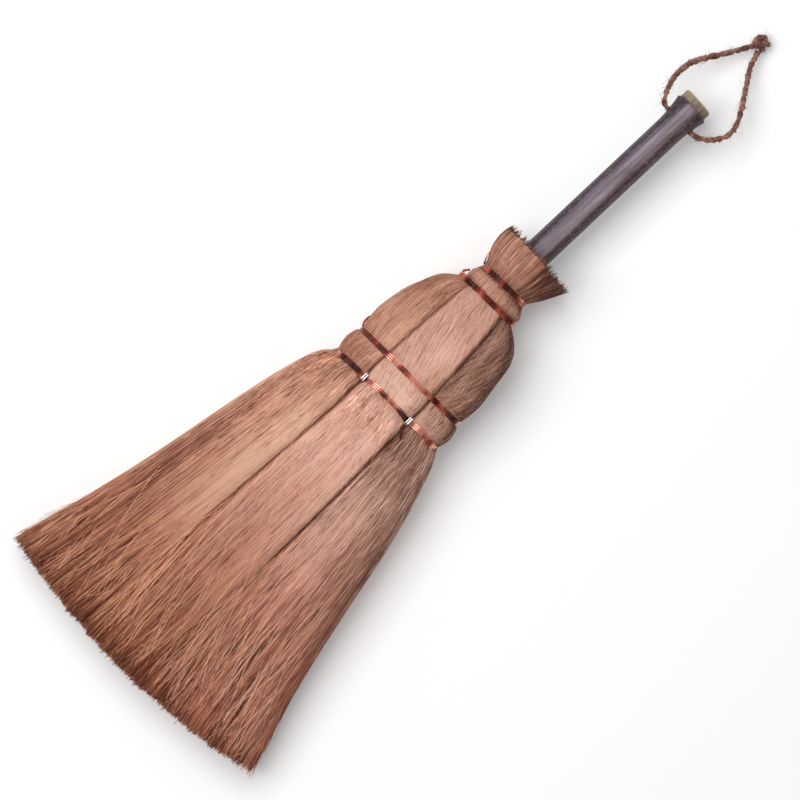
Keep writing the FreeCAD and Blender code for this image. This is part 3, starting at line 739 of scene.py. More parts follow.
# Fibres through the whole thickness of the cut end, each at a share of the way out from its middle
def fibreTips(shell, values, name, seed):
    draw = np.random.default_rng(seed + 6)
    count = values["tips"]
    share = draw.random((count, 1))
    outwards = np.sqrt(draw.random((count, 1))) * 0.98
    run = np.linspace(0, 1, 6)[None]
    tip, _ = onShell(shell, np.full(count, tipX), share[:, 0])
    middle = shell["data"][0, :, 0].mean()
    tipY = middle + outwards[:, 0] * (tip[:, 0] - middle)
    end = cutEdge(tipY, values) + lockTips(share[:, 0], seed) * 0.8 + draw.normal(0, 0.9, count)
    start = end + draw.uniform(*values["tipLength"], count)
    x = start[:, None] + (end - start)[:, None] * run
    yz, _ = onShell(shell, x, share + 0 * run)
    centre = np.stack([np.interp(x, shell["x"], shell["data"][:, :, k].mean(axis=1)) for k in range(2)], -1)
    yz = centre + (yz - centre) * (outwards * (0.9 + 0.1 * run))[..., None]
    yz = yz + draw.normal(0, 1.3, (count, 1, 2)) * [1.0, 0.5] * (run ** 2)[..., None]
    thick = tapered(draw, values["tipThick"], count, run)
    # Their tones are kept low: painted shade, as on the shaded underside along the cut edge
    return strandPiece(name, withX(x, yz), thick, draw.beta(1.6, 2.6, count) - 0.1, 0.75 + 0.25 * run)


# Short fibres felted onto a surface, leaning as the bark's lines do, each a little askew and with
# its ends just lifted
def feltFibres(shell, values, looks, name, reach, seed):
    draw = np.random.default_rng(seed + 7)
    count = values["felt"]
    run = np.linspace(0, 1, 4)[None]
    ends = (2 * run - 1) ** 2
    long = looks["feltLength"] * draw.uniform(0.3, 1.0, (count, 1)) ** 1.3
    begin = draw.uniform(reach[0], reach[1], (count, 1))
    x = np.clip(begin + long * run, shell["x"][0], reach[1])
    above = x[:, :1] + x[:, -1:] > 2 * shoulderX     # none of them bridges the dip under the shoulder wire
    x = np.where(above, np.maximum(x, shoulderX + 1.7), np.minimum(x, shoulderX - 1.7))
    girth = np.linalg.norm(np.diff(shell["data"][..., :2], axis=1), axis=-1).sum(axis=1).mean()
    across = draw.normal(-looks["lean"], looks["feltAskew"], (count, 1)) * long / girth
    share = draw.random((count, 1)) + across * (run - 0.5)
    yz, out = onShell(shell, x, share)
    lift = draw.uniform(-0.12, 0.06, (count, 1)) + values["feltRise"] * draw.random((count, 1)) ** 5 * ends
    yz = yz + out * lift[..., None]
    thick = draw.uniform(*values["feltThick"], (count, 1)) * (1 - 0.5 * ends ** 2)
    along = np.clip((x - bindingX) / (tipX - bindingX), 0, 1)
    uneven = draw.uniform(-1, 1, (count, 1))
    tone = bandTone(share, along, looks["bands"], seed) + looks["contrast"] * (0.3 * uneven + uneven ** 3)
    # painted shade in the grooves
    tone = tone - 0.6 * creaseNear(shell, x, yz[..., 0], 1.0)
    return strandPiece(name, withX(x, yz), thick, tone, along, 0.2)


# Height of the bundles' tops over a grid of places, for what lies across them
def topHeights(shells, count=160):
    x = shells["centre"]["x"]
    y = np.linspace(-90, 90, count)
    heights = np.zeros((len(x), count))
    for shell in shells.values():
        columns = shell["data"].shape[1]
        upper = shell["data"][:, columns // 4:3 * columns // 4, :2][:, ::-1]
        for row, line in enumerate(upper):
            heights[row] = np.maximum(heights[row], np.interp(y, line[:, 0], line[:, 1], 0, 0))
    weights = np.hanning(9) / np.hanning(9).sum()
    bridged = np.apply_along_axis(lambda line: np.convolve(line, weights, mode="same"), 1, heights)
    edge = np.max([np.abs(shell["data"][..., 0]).max(axis=1) for shell in shells.values()], axis=0)
    return {"x": x, "y": y, "z": np.maximum(heights, bridged), "edge": edge}


def heightAt(tops, x, y):
    rows, columns = tops["z"].shape
    row = np.interp(x, tops["x"], np.arange(rows))
    column = np.interp(y, tops["y"], np.arange(columns))
    r, c = np.minimum(row.astype(int), rows - 2), np.minimum(column.astype(int), columns - 2)
    return between(tops["z"], r, c, c + 1, column - c, row - r)


# Stray fibres start in their own bundle and lie across its top and its neighbours' in slow bends,
# most of them leaning to the right; one that would leave the broom's edge bends inwards instead
def strayFibres(shell, tops, values, name, seed):
    draw = np.random.default_rng(seed + 8)
    count = values["strays"]
    run = np.linspace(0, 1, 12)[None]
    begin = draw.uniform(*values["strayFrom"], (count, 1))
    startYz, _ = onShell(shell, begin, draw.uniform(0.3, 0.7, (count, 1)))
    startY = startYz[..., 0]
    end = np.minimum(draw.uniform(*values["strayTo"], (count, 1)), begin - values["strayShortest"])
    x = begin + (end - begin) * run
    straight = startY * (1 + 0.0033 * (begin - x))
    sway = draw.normal(-0.1, 0.17, (count, 1)) * (begin - end)
    bow = draw.normal(0, 2.4, (count, 1))
    room = np.interp(x, tops["x"], tops["edge"]) - 2.5
    y = straight + sway * run ** 1.4 + bow * np.sin(np.pi * run)
    inwards = -np.sign(startY) * (np.abs(y) > room).any(axis=1, keepdims=True)
    sway, bow = (np.where(inwards != 0, 0.5 * inwards * np.abs(way), way) for way in (sway, bow))
    y = np.clip(straight + sway * run ** 1.4 + bow * np.sin(np.pi * run), -room, room)
    cut = cutEdge(y[:, -1:], values) + 1.2 - draw.uniform(-1.5, 1.5, (count, 1))
    x = begin + (np.maximum(end, cut) - begin) * run
    lift = draw.uniform(0.1, 1.0, (count, 1)) * np.sin(np.pi * np.clip(run * 1.02, 0, 1)) ** 0.7
    # A quarter are dark and lie lower: painted shade, standing for the dark gaps between the fibres
    dark = draw.random((count, 1)) < 0.25
    z = heightAt(tops, x, y) - 0.5 + np.where(dark, 0.2 * lift, lift) + 0.4 * run
    thick = tapered(draw, values["strayThick"], count, run, 0.3)
    tone = np.where(dark, draw.uniform(-0.5, 0.1, (count, 1)), draw.uniform(0.35, 0.9, (count, 1)))
    return strandPiece(name, np.stack([x, y, z], -1), thick, tone, np.where(dark, 0.8, 0.5) + 0 * run, 0.4)


# Loose ends that run along a side bundle's edge and spring out from it a little, near the tips
def edgeEnds(shell, values, name, side, seed):
    draw = np.random.default_rng(seed + 9)
    count = values["edgeEnds"]
    run = np.linspace(0, 1, 7)[None]
    share = 0.5 - side * draw.uniform(0.16, 0.27, (count, 1))
    begin = tipX + 26 + 40 * draw.random((count, 1)) ** 1.5
    edge, _ = onShell(shell, np.full((count, 1), tipX), share)
    last = cutEdge(edge[..., 0], values) + draw.uniform(-2.5, 3, (count, 1))
    end = np.maximum(begin - draw.uniform(12, 34, (count, 1)), last)
    x = begin + (end - begin) * run
    yz, out = onShell(shell, x, share)
    spring = 0.3 + values["edgeSpring"] * draw.random((count, 1)) ** 2
    yz = yz + out * (spring * run ** 1.8 - 0.3)[..., None]
    thick = draw.uniform(*values["edgeThick"], (count, 1)) * (1 - 0.4 * run ** 2)
    return strandPiece(name, withX(x, yz), thick, draw.uniform(0.2, 1.0, count), 0.5 + 0.2 * run, 0.4)


# How each bundle's bristles look. Colours are dark, middle and light, as seen, and the tint is what
# they take on at the tips. A band is a share of the way round and its width, a share of the way along
# and its reach, and how much paler it is.
warmStrays = {
    "strayColours": ((118, 62, 42), (216, 151, 118), (250, 195, 160)),
    "strayTint": (0.9, 0.8, 0.7),
}
bristleLooks = {
    "left": {
        "colours": ((126, 72, 52), (220, 162, 134), (250, 206, 178)),
        "tint": (0.56, 0.31, 0.22),
        "bands": ((0.38, 0.05, 0.45, 0.3, -0.34), (0.6, 0.08, 0.4, 0.28, 0.64),
                  (0.45, 0.14, 0.0, 0.14, -0.26)),
        "lean": 0.04,           # mm to the right for each mm towards the tips
        "feltLength": 11,       # the felted fibres' longest, in mm
        "feltAskew": 0.07,      # how far they lie askew
        "contrast": 0.6,        # how far their tones differ
        **warmStrays,
    },
    "centre": {
        "colours": ((138, 84, 66), (232, 174, 150), (255, 214, 194)),
        "tint": (0.5, 0.24, 0.1),
        "bands": ((0.5, 0.2, 0.26, 0.22, 0.16), (0.62, 0.04, 0.3, 0.4, 0.16),
                  (0.38, 0.04, 0.35, 0.25, -0.12)),
        "lean": 0.16,
        "feltLength": 11,
        "feltAskew": 0.07,
        "contrast": 0.55,
        **warmStrays,
    },
    "right": {
        "colours": ((104, 64, 52), (198, 148, 129), (242, 202, 184)),
        "tint": (0.96, 0.52, 0.32),
        "strayColours": ((104, 64, 52), (208, 153, 130), (248, 204, 182)),
        "strayTint": (0.96, 0.7, 0.55),
        "bands": ((0.5, 0.3, 0.03, 0.14, -0.3), (0.45, 0.08, 0.45, 0.2, 0.28),
                  (0.66, 0.06, 0.4, 0.4, -0.22)),
        "lean": -0.05,
        "feltLength": 20,
        "feltAskew": 0.04,
        "contrast": 0.85,
    },
}


def makeBristles(values):
    shells = {name: bristleShell(values, side) for name, side in bundles.items()}
    tops = topHeights(shells)
    felted = (values["feltLow"], bindingX - 1)
    for number, (name, side) in enumerate(bundles.items()):
        seed = 100 + 20 * number
        shell, looks = shells[name], bristleLooks[name]
        packed = barkMaterial("packed_fibre_" + name, looks["colours"], looks["lean"], 0.05, 320)
        loose = strandMaterial("loose_fibre_" + name, looks["colours"], looks["tint"])
        stray = strandMaterial("stray_fibre_" + name, looks["strayColours"], looks["strayTint"])
        body = fibreBody(shell, values, "fibre_body_" + name, looks["bands"], seed)
        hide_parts("bristles_" + name)
        pieces = [
            (body, packed),
            (fibreCoat(shell, values, "fibre_coat_" + name, looks["bands"], seed), loose),
            (fibreTips(shell, values, "fibre_tips_" + name, seed), loose),
            (feltFibres(shell, values, looks, "fibre_felt_" + name, felted, seed), loose),
            (strayFibres(shell, tops, values, "stray_fibres_" + name, seed), stray),
        ]
        if side:
            pieces.append((edgeEnds(shell, values, "edge_ends_" + name, side, seed), loose))
        for piece, material in pieces:
            piece.data.materials.append(material)
            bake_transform(piece)
    print("bristles made")


makeBristles(bristleShape)


# Head: bark sheaths over the bundles. Stations run from the binding wire, 0, by the shoulder
# wire, 1, to the lower neck wire, 2.
headShape = {
    "stations": (-0.1, 0.0, 0.2, 0.5, 0.8, 1.0, 1.1, 1.24,
                 1.36, 1.48, 1.6, 1.7, 1.8, 1.88, 1.94, 2.0),
    "halfWidth": (34.6, 34.3, 36.0, 36.6, 35.6, 33.6, 35.0, 35.5,
                  34.7, 33.6, 32.4, 30.8, 28.6, 25.4, 21.2, 16.2),
    "groove": (15.6, 15.6, 15.9, 16.0, 15.7, 15.2, 15.1, 14.7,
               14.3, 13.8, 13.3, 12.8, 12.3, 11.7, 11.2, 10.6),
    "thickness": (29.6, 29.2, 32.6, 34.2, 33.8, 32.4, 38.4, 42.8,
                  44.6, 45.0, 44.9, 44.3, 43.0, 40.4, 36.6, 32.2),
    "sideShare": (0.92, 0.92, 0.92, 0.92, 0.92, 0.92, 0.92, 0.91,
                  0.9, 0.89, 0.88, 0.86, 0.84, 0.81, 0.78, 0.74),
    "innerRound": (0.7, 0.68, 0.56, 0.38, 0.26, 0.22, 0.19, 0.17,
                   0.15, 0.14, 0.14, 0.14, 0.15, 0.16, 0.18, 0.2),
    "outerRound": 0.96,
    "leftSlim": 1.5,            # mm that the left shoulder is slimmer near the neck
    "rightFull": 1.1,           # mm that the right one is fuller
    "fullAt": (1.74, 0.16),     # the station where they are so, and its reach
    "felt": 4500,               # fine fibres on each sheath
    "feltThick": (0.07, 0.14),
    "feltRise": 0.12,
}


def headShell(values, side, count=110):
    place = np.linspace(values["stations"][0], values["stations"][-1], count)
    x = np.interp(place, (-1, 0, 1, 2), (2 * bindingX - shoulderX, bindingX, shoulderX, lowerNeckX))
    halfWidth, groove, thickness, sideShare, inner = (
        eased(place, values["stations"], values[key], 7)
        for key in ("halfWidth", "groove", "thickness", "sideShare", "innerRound"))
    fuller = {1: -values["leftSlim"], 0: 0, -1: values["rightFull"]}[side]
    station, reach = values["fullAt"]
    halfWidth = halfWidth + fuller * np.exp(-((place - station) / reach) ** 2)
    half = thickness / 2 * np.where(side == 0, 1, sideShare)
    lowZ = np.maximum(axisHeight - half, 0.05)
    outer = np.full(count, values["outerRound"])
    rounds = (inner, inner, outer, outer)
    return bundleShell(x, halfWidth, groove, groove, lowZ, axisHeight + half, rounds, side)


# A sheath is the bundle's surface with shallow ridges, with painted shade in the grooves and in the ridges'
# hollows
def barkSheath(shell, name, bands, seed):
    columns, rows = 300, 90
    share = (np.arange(columns) + 0.5) / columns
    x = np.broadcast_to(np.linspace(shell["x"][0], shell["x"][-1], rows)[:, None], (rows, columns))
    both = np.broadcast_to(share, x.shape)
    yz, out = onShell(shell, x, both)
    along = (x - shell["x"][0]) / (shell["x"][-1] - shell["x"][0])
    relief = 0.8 * latticeNoise(both, along, 22, 4, seed) + 0.2 * latticeNoise(both, along, 120, 9, seed + 1)
    yz = yz + out * (0.22 * (relief - 0.5))[..., None]
    yz[..., 1] = np.maximum(yz[..., 1], 0.02)
    piece = gridPiece(name, withX(x, yz))
    # Painted shade: darker in the ridges' hollows
    tone = bandTone(both, along, bands, seed) + 0.25 * (relief - 0.5)
    fading = 1 - 0.6 * np.clip((along - 0.7) / 0.3, 0, 1)     # the sheaths merge at the neck
    tone = tone - 0.5 * fading * creaseNear(shell, x, yz[..., 0], 0.9)
    addValue(piece, "tone", np.concatenate([tone.ravel(), [0.5, 0.5]]))
    return piece


# How each sheath looks, given as for the bristles. Its fine lines cross as far askew as its felt.
barkLooks = {
    "left": {
        "colours": ((100, 58, 40), (178, 124, 101), (226, 174, 148)),
        "bands": ((0.4, 0.07, 0.6, 0.5, -0.2), (0.57, 0.05, 0.5, 2, 0.16), (0.45, 0.2, 0.1, 0.12, -0.16)),
        "lean": 0.08,
        "feltLength": 18,
        "feltAskew": 0.08,
        "contrast": 0.7,
    },
    "centre": {
        "colours": ((128, 82, 64), (193, 144, 124), (232, 188, 168)),
        "bands": ((0.5, 0.1, 0.5, 2, 0.1), (0.5, 0.14, 0.1, 0.12, 0.16)),
        "lean": 0.24,
        "feltLength": 18,
        "feltAskew": 0.06,
        "contrast": 0.5,
    },
    "right": {
        "colours": ((54, 28, 20), (106, 67, 54), (198, 150, 130)),
        "bands": ((0.45, 0.05, 0.5, 2, 0.1), (0.62, 0.06, 0.5, 2, -0.1), (0.5, 0.2, 0.1, 0.12, 0.2)),
        "lean": -0.26,
        "feltLength": 18,
        "feltAskew": 0.2,
        "contrast": 0.95,
    },
}


def makeHead(values):
    shells = {}
    for number, (name, side) in enumerate(bundles.items()):
        seed = 200 + 20 * number
        looks = barkLooks[name]
        shell = shells[name] = headShell(values, side)
        bark = barkMaterial("bark_" + name, looks["colours"], looks["lean"], looks["feltAskew"], 300)
        hair = strandMaterial("bark_hair_" + name, looks["colours"], (1, 1, 1))
        sheath = barkSheath(shell, "bark_sheath_" + name, looks["bands"], seed)
        dress(sheath, bark, "head", ["sheath_" + name])
        reach = (shell["x"][0], shell["x"][-1])
        dress(feltFibres(shell, values, looks, "bark_felt_" + name, reach, seed), hair)
    print("head made")
    return shells


headShells = makeHead(headShape)


# Collar: the sheaths' ends gathered round the handle, flared into a ruff above the upper wire
collarShape = {
    "x": (54.0, 55.4, 58.6, 60.2, 62.8, 65.0, 66.4, 69.6, 71.5, 75.0, 79.0, 85.0, 91.5),
    "radius": (16.3, 16.4, 16.5, 16.8, 16.7, 15.6, 14.1, 14.1, 15.0, 17.0, 18.6, 20.3, 21.4),
    "cup": 8.0,                 # mm from the rim down to the culm inside it
    "culm": 7.7,                # radius beside the culm
    "fold": 1.1,                # mm that the bark stands out at the right
    "foldAt": (61.5, 2.6),      # mm along X, and its reach
    "coat": 520,                # fibres on its outside
    "coatThick": (0.1, 0.22),   # their radii in mm
    "ends": 900,                # cut ends inside the ruff
    "endThick": (0.16, 0.28),
    "bark": ((104, 62, 44), (176, 126, 105), (216, 166, 142)),     # dark, middle and light, as seen
    "fibre": ((84, 48, 33), (168, 116, 94), (216, 166, 140)),
    "tint": (0.8, 0.7, 0.65),   # of the fibres, at the rim
}


def handlePoint(x, radius, turn):     # turn 0 is towards the left bundle, a quarter turn is up
    along = (x - holePoint[0]) / alongHandle[0]
    return (holePoint + along[..., None] * alongHandle + (radius * np.cos(turn))[..., None] * acrossHandle
            + (radius * np.sin(turn))[..., None] * upwards)


def ruffShare(x, most=1.0):     # 0 at the upper wire, 1 at the rim
    return np.clip((x - upperNeckX) / (rimX - upperNeckX), 0, most)


def toRight(turn):     # 1 at the collar's right side, 0 on its left half
    return np.clip(-np.cos(turn), 0, 1)


# The ruff is flat in front and behind, pinched to a corner on the left and splayed on the right
def collarRadius(values, x, turn):
    radius = np.interp(x, values["x"], values["radius"])
    ruff = ruffShare(x, 1.2)
    flat = 1 - 0.2 * ruff * np.sin(turn) ** 2
    right = 1 + 0.1 * ruff * toRight(turn) ** 2
    pinch = 0.03 * np.sin(np.pi * np.clip(ruff, 0, 1)) - 0.12 * ruff ** 3
    left = 1 + pinch * np.clip(np.cos(turn), 0, 1) ** 3
    middle, reach = values["foldAt"]
    fold = values["fold"] * np.exp(-((x - middle) / reach) ** 2) * toRight(turn)
    return radius * flat * right * left + fold


def rimAt(turn):     # the cut rim is uneven, and lower at the right
    ragged = lineNoise(turn / full, 11, 71) - 0.5 + 0.5 * (lineNoise(turn / full, 60, 72) - 0.5)
    return rimX - 0.8 + ragged - 1.6 * toRight(turn) ** 2


def inTuft(turn):     # 1 in the dark tuft at the collar's right side, with a narrow edge
    return np.clip((-np.cos(turn) - 0.3) / 0.25, 0, 1)


def collarRelief(turn, along):
    share = turn / full
    return 0.6 * latticeNoise(share, along, 60, 3, 75) + 0.4 * latticeNoise(share, along, 170, 5, 76)


def makeCollar(values):
    columns, rows, cupRows = 260, 60, 7
    turn = (np.arange(columns) / columns * full)[None]
    rim = rimAt(turn) - 1.5
    start = values["x"][0]
    along = np.linspace(0, 1, rows)[:, None]
    x = start + (rim - start) * along
    relief = collarRelief(turn + 0 * x, along + 0 * x)
    radius = collarRadius(values, x, turn + 0 * x) + 0.12 * (relief - 0.6)
    inner = np.linspace(0, 1, cupRows + 1)[1:, None]
    innerX = rim - values["cup"] * inner ** 1.4
    innerRadius = radius[-1] * (1 - inner) ** 1.2 + values["culm"] * (1 - (1 - inner) ** 1.2)
    grid = handlePoint(np.concatenate([x, innerX]), np.concatenate([radius, innerRadius]),
                       np.broadcast_to(turn, (rows + cupRows, columns)))
    grid[..., 2] = np.maximum(grid[..., 2], 0.05)
    piece = gridPiece("gathered_collar", grid)
    # Painted shade: lighter on the relief's ridges and darker in its hollows, and low inside the cup; darker
    # too in the tuft
    outer = 0.4 + 0.2 * relief - 0.42 * np.sqrt(ruffShare(x)) * inTuft(turn)
    addValue(piece, "tone", np.concatenate([outer.ravel(), np.full(cupRows * columns, -0.1), [0.3, 0.1]]))
    bark = barkMaterial("bark_collar", values["bark"], 0.05, 0.05, 170)
    dress(piece, bark, "head", ["neck_collar"])
    hair = strandMaterial("collar_fibre", values["fibre"], values["tint"])
    dress(collarFibres(values, "collar_fibres"), hair)
    dress(ruffEnds(values, "ruff_ends"), hair)
    print("collar made")


# Fibres on the collar's outside, from under the lower wire to the cut rim
def collarFibres(values, name):
    draw = np.random.default_rng(81)
    count = values["coat"]
    run = np.linspace(0, 1, 12)[None]
    turn = draw.uniform(0, full, (count, 1)) + draw.normal(0, 0.05, (count, 1)) * run
    begin = draw.uniform(values["x"][0] + 1, upperNeckX, (count, 1))
    end = rimAt(turn[:, -1:]) + draw.normal(0, 0.8, (count, 1))
    x = begin + (end - begin) * run
    relief = collarRelief(turn, (x - values["x"][0]) / (end - values["x"][0]))
    radius = collarRadius(values, x, turn) + 0.12 * (relief - 0.6) + draw.uniform(-0.15, 0.06, (count, 1))
    splay = draw.normal(0.1, 0.8, (count, 1)) * (0.1 + inTuft(turn)) * run ** 4 * 2
    thick = tapered(draw, values["coatThick"], count, run, 0.3)
    tone = draw.uniform(0.1, 0.75, (count, 1))
    darker = 0.3 * inTuft(turn) + 0.15 * (draw.random((count, 1)) < 0.2)
    return strandPiece(name, handlePoint(x, radius + splay, turn), thick, tone - darker * ruffShare(x))


# Cut ends that fill the ruff between its outside and the culm
def ruffEnds(values, name):
    draw = np.random.default_rng(82)
    count = values["ends"]
    run = np.linspace(0, 1, 6)[None]
    turn = draw.uniform(0, full, (count, 1)) + draw.normal(0, 0.1, (count, 1)) * run
    outwards = np.sqrt(draw.uniform(0.12, 1.0, (count, 1)))
    end = rimAt(turn[:, -1:]) - 1.2 + draw.normal(0, 1.4, (count, 1)) - 3.0 * (1 - outwards)
    x = end - draw.uniform(9, 17, (count, 1)) * (1 - run)
    outer = collarRadius(values, x, turn) - 0.3
    radius = values["culm"] + 0.3 + (outer - values["culm"]) * outwards
    splay = draw.normal(0.2, 0.8, (count, 1)) * toRight(turn) * run ** 3
    thick = tapered(draw, values["endThick"], count, run, 0.3)
    return strandPiece(name, handlePoint(x, radius + splay, turn), thick, draw.beta(1.6, 2.4, count))


makeCollar(collarShape)


# Copper wire bindings: tight turns side by side
copperWire = {
    "diameter": 0.86,
    "pitch": 1.04,
    "turns": 3,
    "sink": 0.12,               # how far the wire presses into the fibre
    "grooveHeight": 8.4,        # the binding wire's height over the axis in a groove
    "bow": 5.0,                 # how strongly the binding wire bows up over each bundle
}


def copperMaterial():     # red copper, with painted highlights and painted shade by turns along the wire
    material, tree, shader = newMaterial("copper", 0.2, Metallic=1.0, Coat_Weight=0.5, Coat_Roughness=0.08)
    place = objectPlace(tree)
    wearAndSheen = noise(tree, place, (40, 120, 120), 1.0)
    fine = noise(tree, place, (700, 700, 700), 3.0)
    # the colour runs from painted shade to pale pink painted highlights
    colour = ramp(tree, wearAndSheen, [(0.42, seen(74, 14, 8)), (0.47, seen(132, 40, 28)),
                               (0.53, seen(214, 92, 72)), (0.59, seen(255, 178, 158))])
    feed(tree, shader.inputs["Roughness"], spread(tree, fine, (0.2, 0.8), (0.14, 0.28)))
    finished(tree, shader, colour, fine, 0.1, 0.1)
    return material


# A belt pulled tight round some points: for every heading the point that reaches furthest
# that way, moved out by the clearance
def beltLoop(points, clearance, count=720):
    heading = np.arange(count) / count * full
    way = np.stack([np.cos(heading), np.sin(heading)], -1)
    return points[np.argmax(points @ way.T, axis=0)] + way * clearance


def sectionsAt(shells, x):
    share = np.arange(400) / 400
    return [onShell(shell, np.full(400, x), share)[0] for shell in shells.values()]


# The binding wire's loop: the highest of the three bundles' own belts, eased at the grooves
def lobedLoop(sections, clearance, grooveHeight):
    belts = [beltLoop(section, clearance) for section in sections]
    reach = max(belt[:, 0].max() for belt in belts) - 0.01
    turn = np.linspace(0, np.pi, 700)
    y = reach * np.cos(turn)
    height = np.full(700, axisHeight)
    for belt in belts:
        upper = belt[belt[:, 1] >= axisHeight]
        upper = upper[np.argsort(upper[:, 0])]
        height = np.maximum(height, np.interp(y, upper[:, 0], upper[:, 1], axisHeight, axisHeight))
    inner = np.abs(y) < reach * 0.8
    height = np.where(inner, np.maximum(height, axisHeight + grooveHeight), height)
    weights = np.hanning(23) / np.hanning(23).sum()
    smooth = np.convolve(np.pad(height, 11, mode="edge"), weights, mode="valid")
    height = np.where(np.abs(y) < reach * 0.93, smooth, height)
    upper = np.stack([y, height], -1)
    lower = np.stack([y[::-1], 2 * axisHeight - height[::-1]], -1)
    return np.concatenate([upper, lower[1:-1]])


# Wire ends: two twisted together and bent over at the left of the neck and the shoulder, one
# left standing beside the collar and one lying in the right groove
copperTails = {
    "copper_twist_neck": (2, (
        (57.0, 17.4, 24.0), (58.2, 18.4, 25.4), (60.0, 17.9, 26.4), (61.6, 16.4, 26.6))),
    "copper_twist_shoulder": (2, (
        (3.4, 33.6, 24.5), (4.6, 35.0, 26.0), (7.4, 35.6, 26.4), (9.8, 35.0, 26.2))),
    "copper_tail_collar": (1, (
        (68.6, 13.4, 26.0), (70.8, 14.3, 26.6), (73.4, 15.6, 26.6), (76.0, 15.9, 26.2))),
    "copper_tail_groove": (1, (
        (-13.6, -15.4, 32.4), (-16.4, -15.4, 33.4), (-19.6, -16.6, 34.6), (-22.6, -18.6, 36.2))),
}


def makeTails(values, copper):
    for name, (strands, points) in copperTails.items():
        line = splineLine(points, 60)
        thick = values["diameter"] * (0.8 if strands > 1 else 0.9)
        paths = pliesAbout(line, 2, thick / 2, 3.0, upwards, 64) if strands > 1 else line[None]
        piece = tubePiece(name, paths, np.full(paths.shape[:2], thick / 2), 8, np.array([0.3, 0.2, 0.93]))
        dress(piece, copper)


# A wire runs round a loop and along at a steady rate, so that its turns lie side by side
def windingPath(loop, turns, pitch, perTurn=220):
    even = evenly(np.concatenate([loop, loop[:1]]), perTurn + 1)[:-1]
    way = unit(np.roll(even, -1, axis=0) - np.roll(even, 1, axis=0))
    waves = 0.1 * (lineNoise(np.arange(perTurn) / perTurn, perTurn // 6, 61) - 0.4)
    even = even + waves[:, None] * np.stack([way[:, 1], -way[:, 0]], -1)
    step = np.arange(turns * perTurn + 1)
    along = pitch * (step / perTurn - turns / 2)
    return np.concatenate([along[:, None], even[step % perTurn]], -1)


def wirePiece(name, path, diameter, material, replaced, reference=lengthways):
    piece = tubePiece(name, path[None], np.full((1, len(path)), diameter / 2), 8, reference)
    return dress(piece, material, "head", replaced)


def makeWindings(values, shells):
    copper = copperMaterial()
    clearance = values["diameter"] / 2 - values["sink"]
    turn = np.linspace(0, full, 361)[:-1]

    def collarSection(x):
        places = np.full_like(turn, x)
        return handlePoint(places, collarRadius(collarShape, places, turn), turn)[:, 1:]

    binding = lobedLoop(sectionsAt(shells, bindingX), clearance, values["grooveHeight"])
    across = np.concatenate(sectionsAt(shells, shoulderX))
    gathered = np.concatenate([collarSection(lowerNeckX), *sectionsAt(shells, lowerNeckX - 1.4)])
    for name, wire, x, loop in (
            ("shoulder", "shoulder_wire", shoulderX, beltLoop(across, clearance)),
            ("binding", "binding_wire", bindingX, binding),
            ("neck_lower", "neck_wire_lower", lowerNeckX, beltLoop(gathered, clearance)),
            ("neck_upper", "neck_wire_upper", upperNeckX, beltLoop(collarSection(upperNeckX), clearance))):
        path = windingPath(loop, values["turns"], values["pitch"]) + [x, 0, 0]
        if loop is binding:
            path[:, 0] += values["bow"] * (np.clip(np.abs(path[:, 2] - axisHeight) / 15, 0.7, 1.1) - 0.88)
        wirePiece("copper_" + name, path, values["diameter"], copper, [wire])
    makeTails(values, copper)
    print("copper windings made")
    return binding


bindingLoop = makeWindings(copperWire, headShells)


# Steel stitches: a loop of wire over the binding wire in each groove
steelStitch = {"diameter": 1.15, "turns": 2, "reach": 3.5, "squareness": 4.2}


def steelMaterial():
    material, tree, shader = newMaterial("steel", 0.22, Metallic=1.0)
    wearAndSheen = noise(tree, objectPlace(tree), (700, 700, 700), 3.0)
    finished(tree, shader, ramp(tree, wearAndSheen, [(0.3, seen(196, 196, 194)), (0.7, seen(240, 240, 238))]))
    return material


# A stitch's line is a rounded oblong, upright in the groove and square to the binding wire,
# taken round twice side by side
def makeStitches(values, loop):
    steel = steelMaterial()
    for name in ("left", "right"):
        low, high = boxOf("stitch_" + name)
        y = (low[1] + high[1]) / 2
        upper = loop[(loop[:, 1] > axisHeight) & (np.abs(loop[:, 0] - y) < 1.2)]
        height = upper[:, 1].max() - axisHeight + (copperWire["diameter"] + values["diameter"]) / 2
        turn = np.linspace(0, full * values["turns"], 120 * values["turns"] + 1) - np.pi / 2
        power = 2 / values["squareness"]
        x = values["reach"] * np.sign(np.cos(turn)) * np.abs(np.cos(turn)) ** power
        z = height * np.sign(np.sin(turn)) * np.abs(np.sin(turn)) ** power
        z = z - 0.3 * np.cos(x / values["reach"] * np.pi / 2) * np.sign(z)
        side = values["diameter"] * 1.02 * ((turn + np.pi / 2) / full - values["turns"] / 2)
        path = np.stack([bindingX + x, y + side, axisHeight + z], -1)
        wirePiece("steel_stitch_" + name, evenly(path, 300), values["diameter"], steel,
                  ["stitch_" + name], np.array([0.0, 1.0, 0.0]))
    print("stitches made")


makeStitches(steelStitch, bindingLoop)


# Handle: a dark bamboo culm with a whittled plug in its end
plugShape = {"radius": 8.5, "length": 4.5, "facets": 9, "chamfer": 1.0, "tilt": 0.05, "spigot": 4.5}
culmLooks = {
    "grain": ((56, 44, 45), (96, 82, 84), (134, 120, 123)),     # dark, middle and light, as seen
    "specks": (142, 128, 132),
    "paintedLightBands": (     # painted highlight and painted shade, in bands across the culm: share of the way across, and the tint there
        (0.15, (0.4, 0.24, 0.24)), (0.25, (0.7, 0.55, 0.55)), (0.4, (2.1, 2.3, 2.3)), (0.54, (1.0, 1.0, 1.2)),
        (0.66, (2.0, 2.3, 2.7)), (0.79, (0.6, 0.55, 0.75)), (0.88, (0.25, 0.2, 0.28))),
    "halfWidth": 7.6,           # mm
}


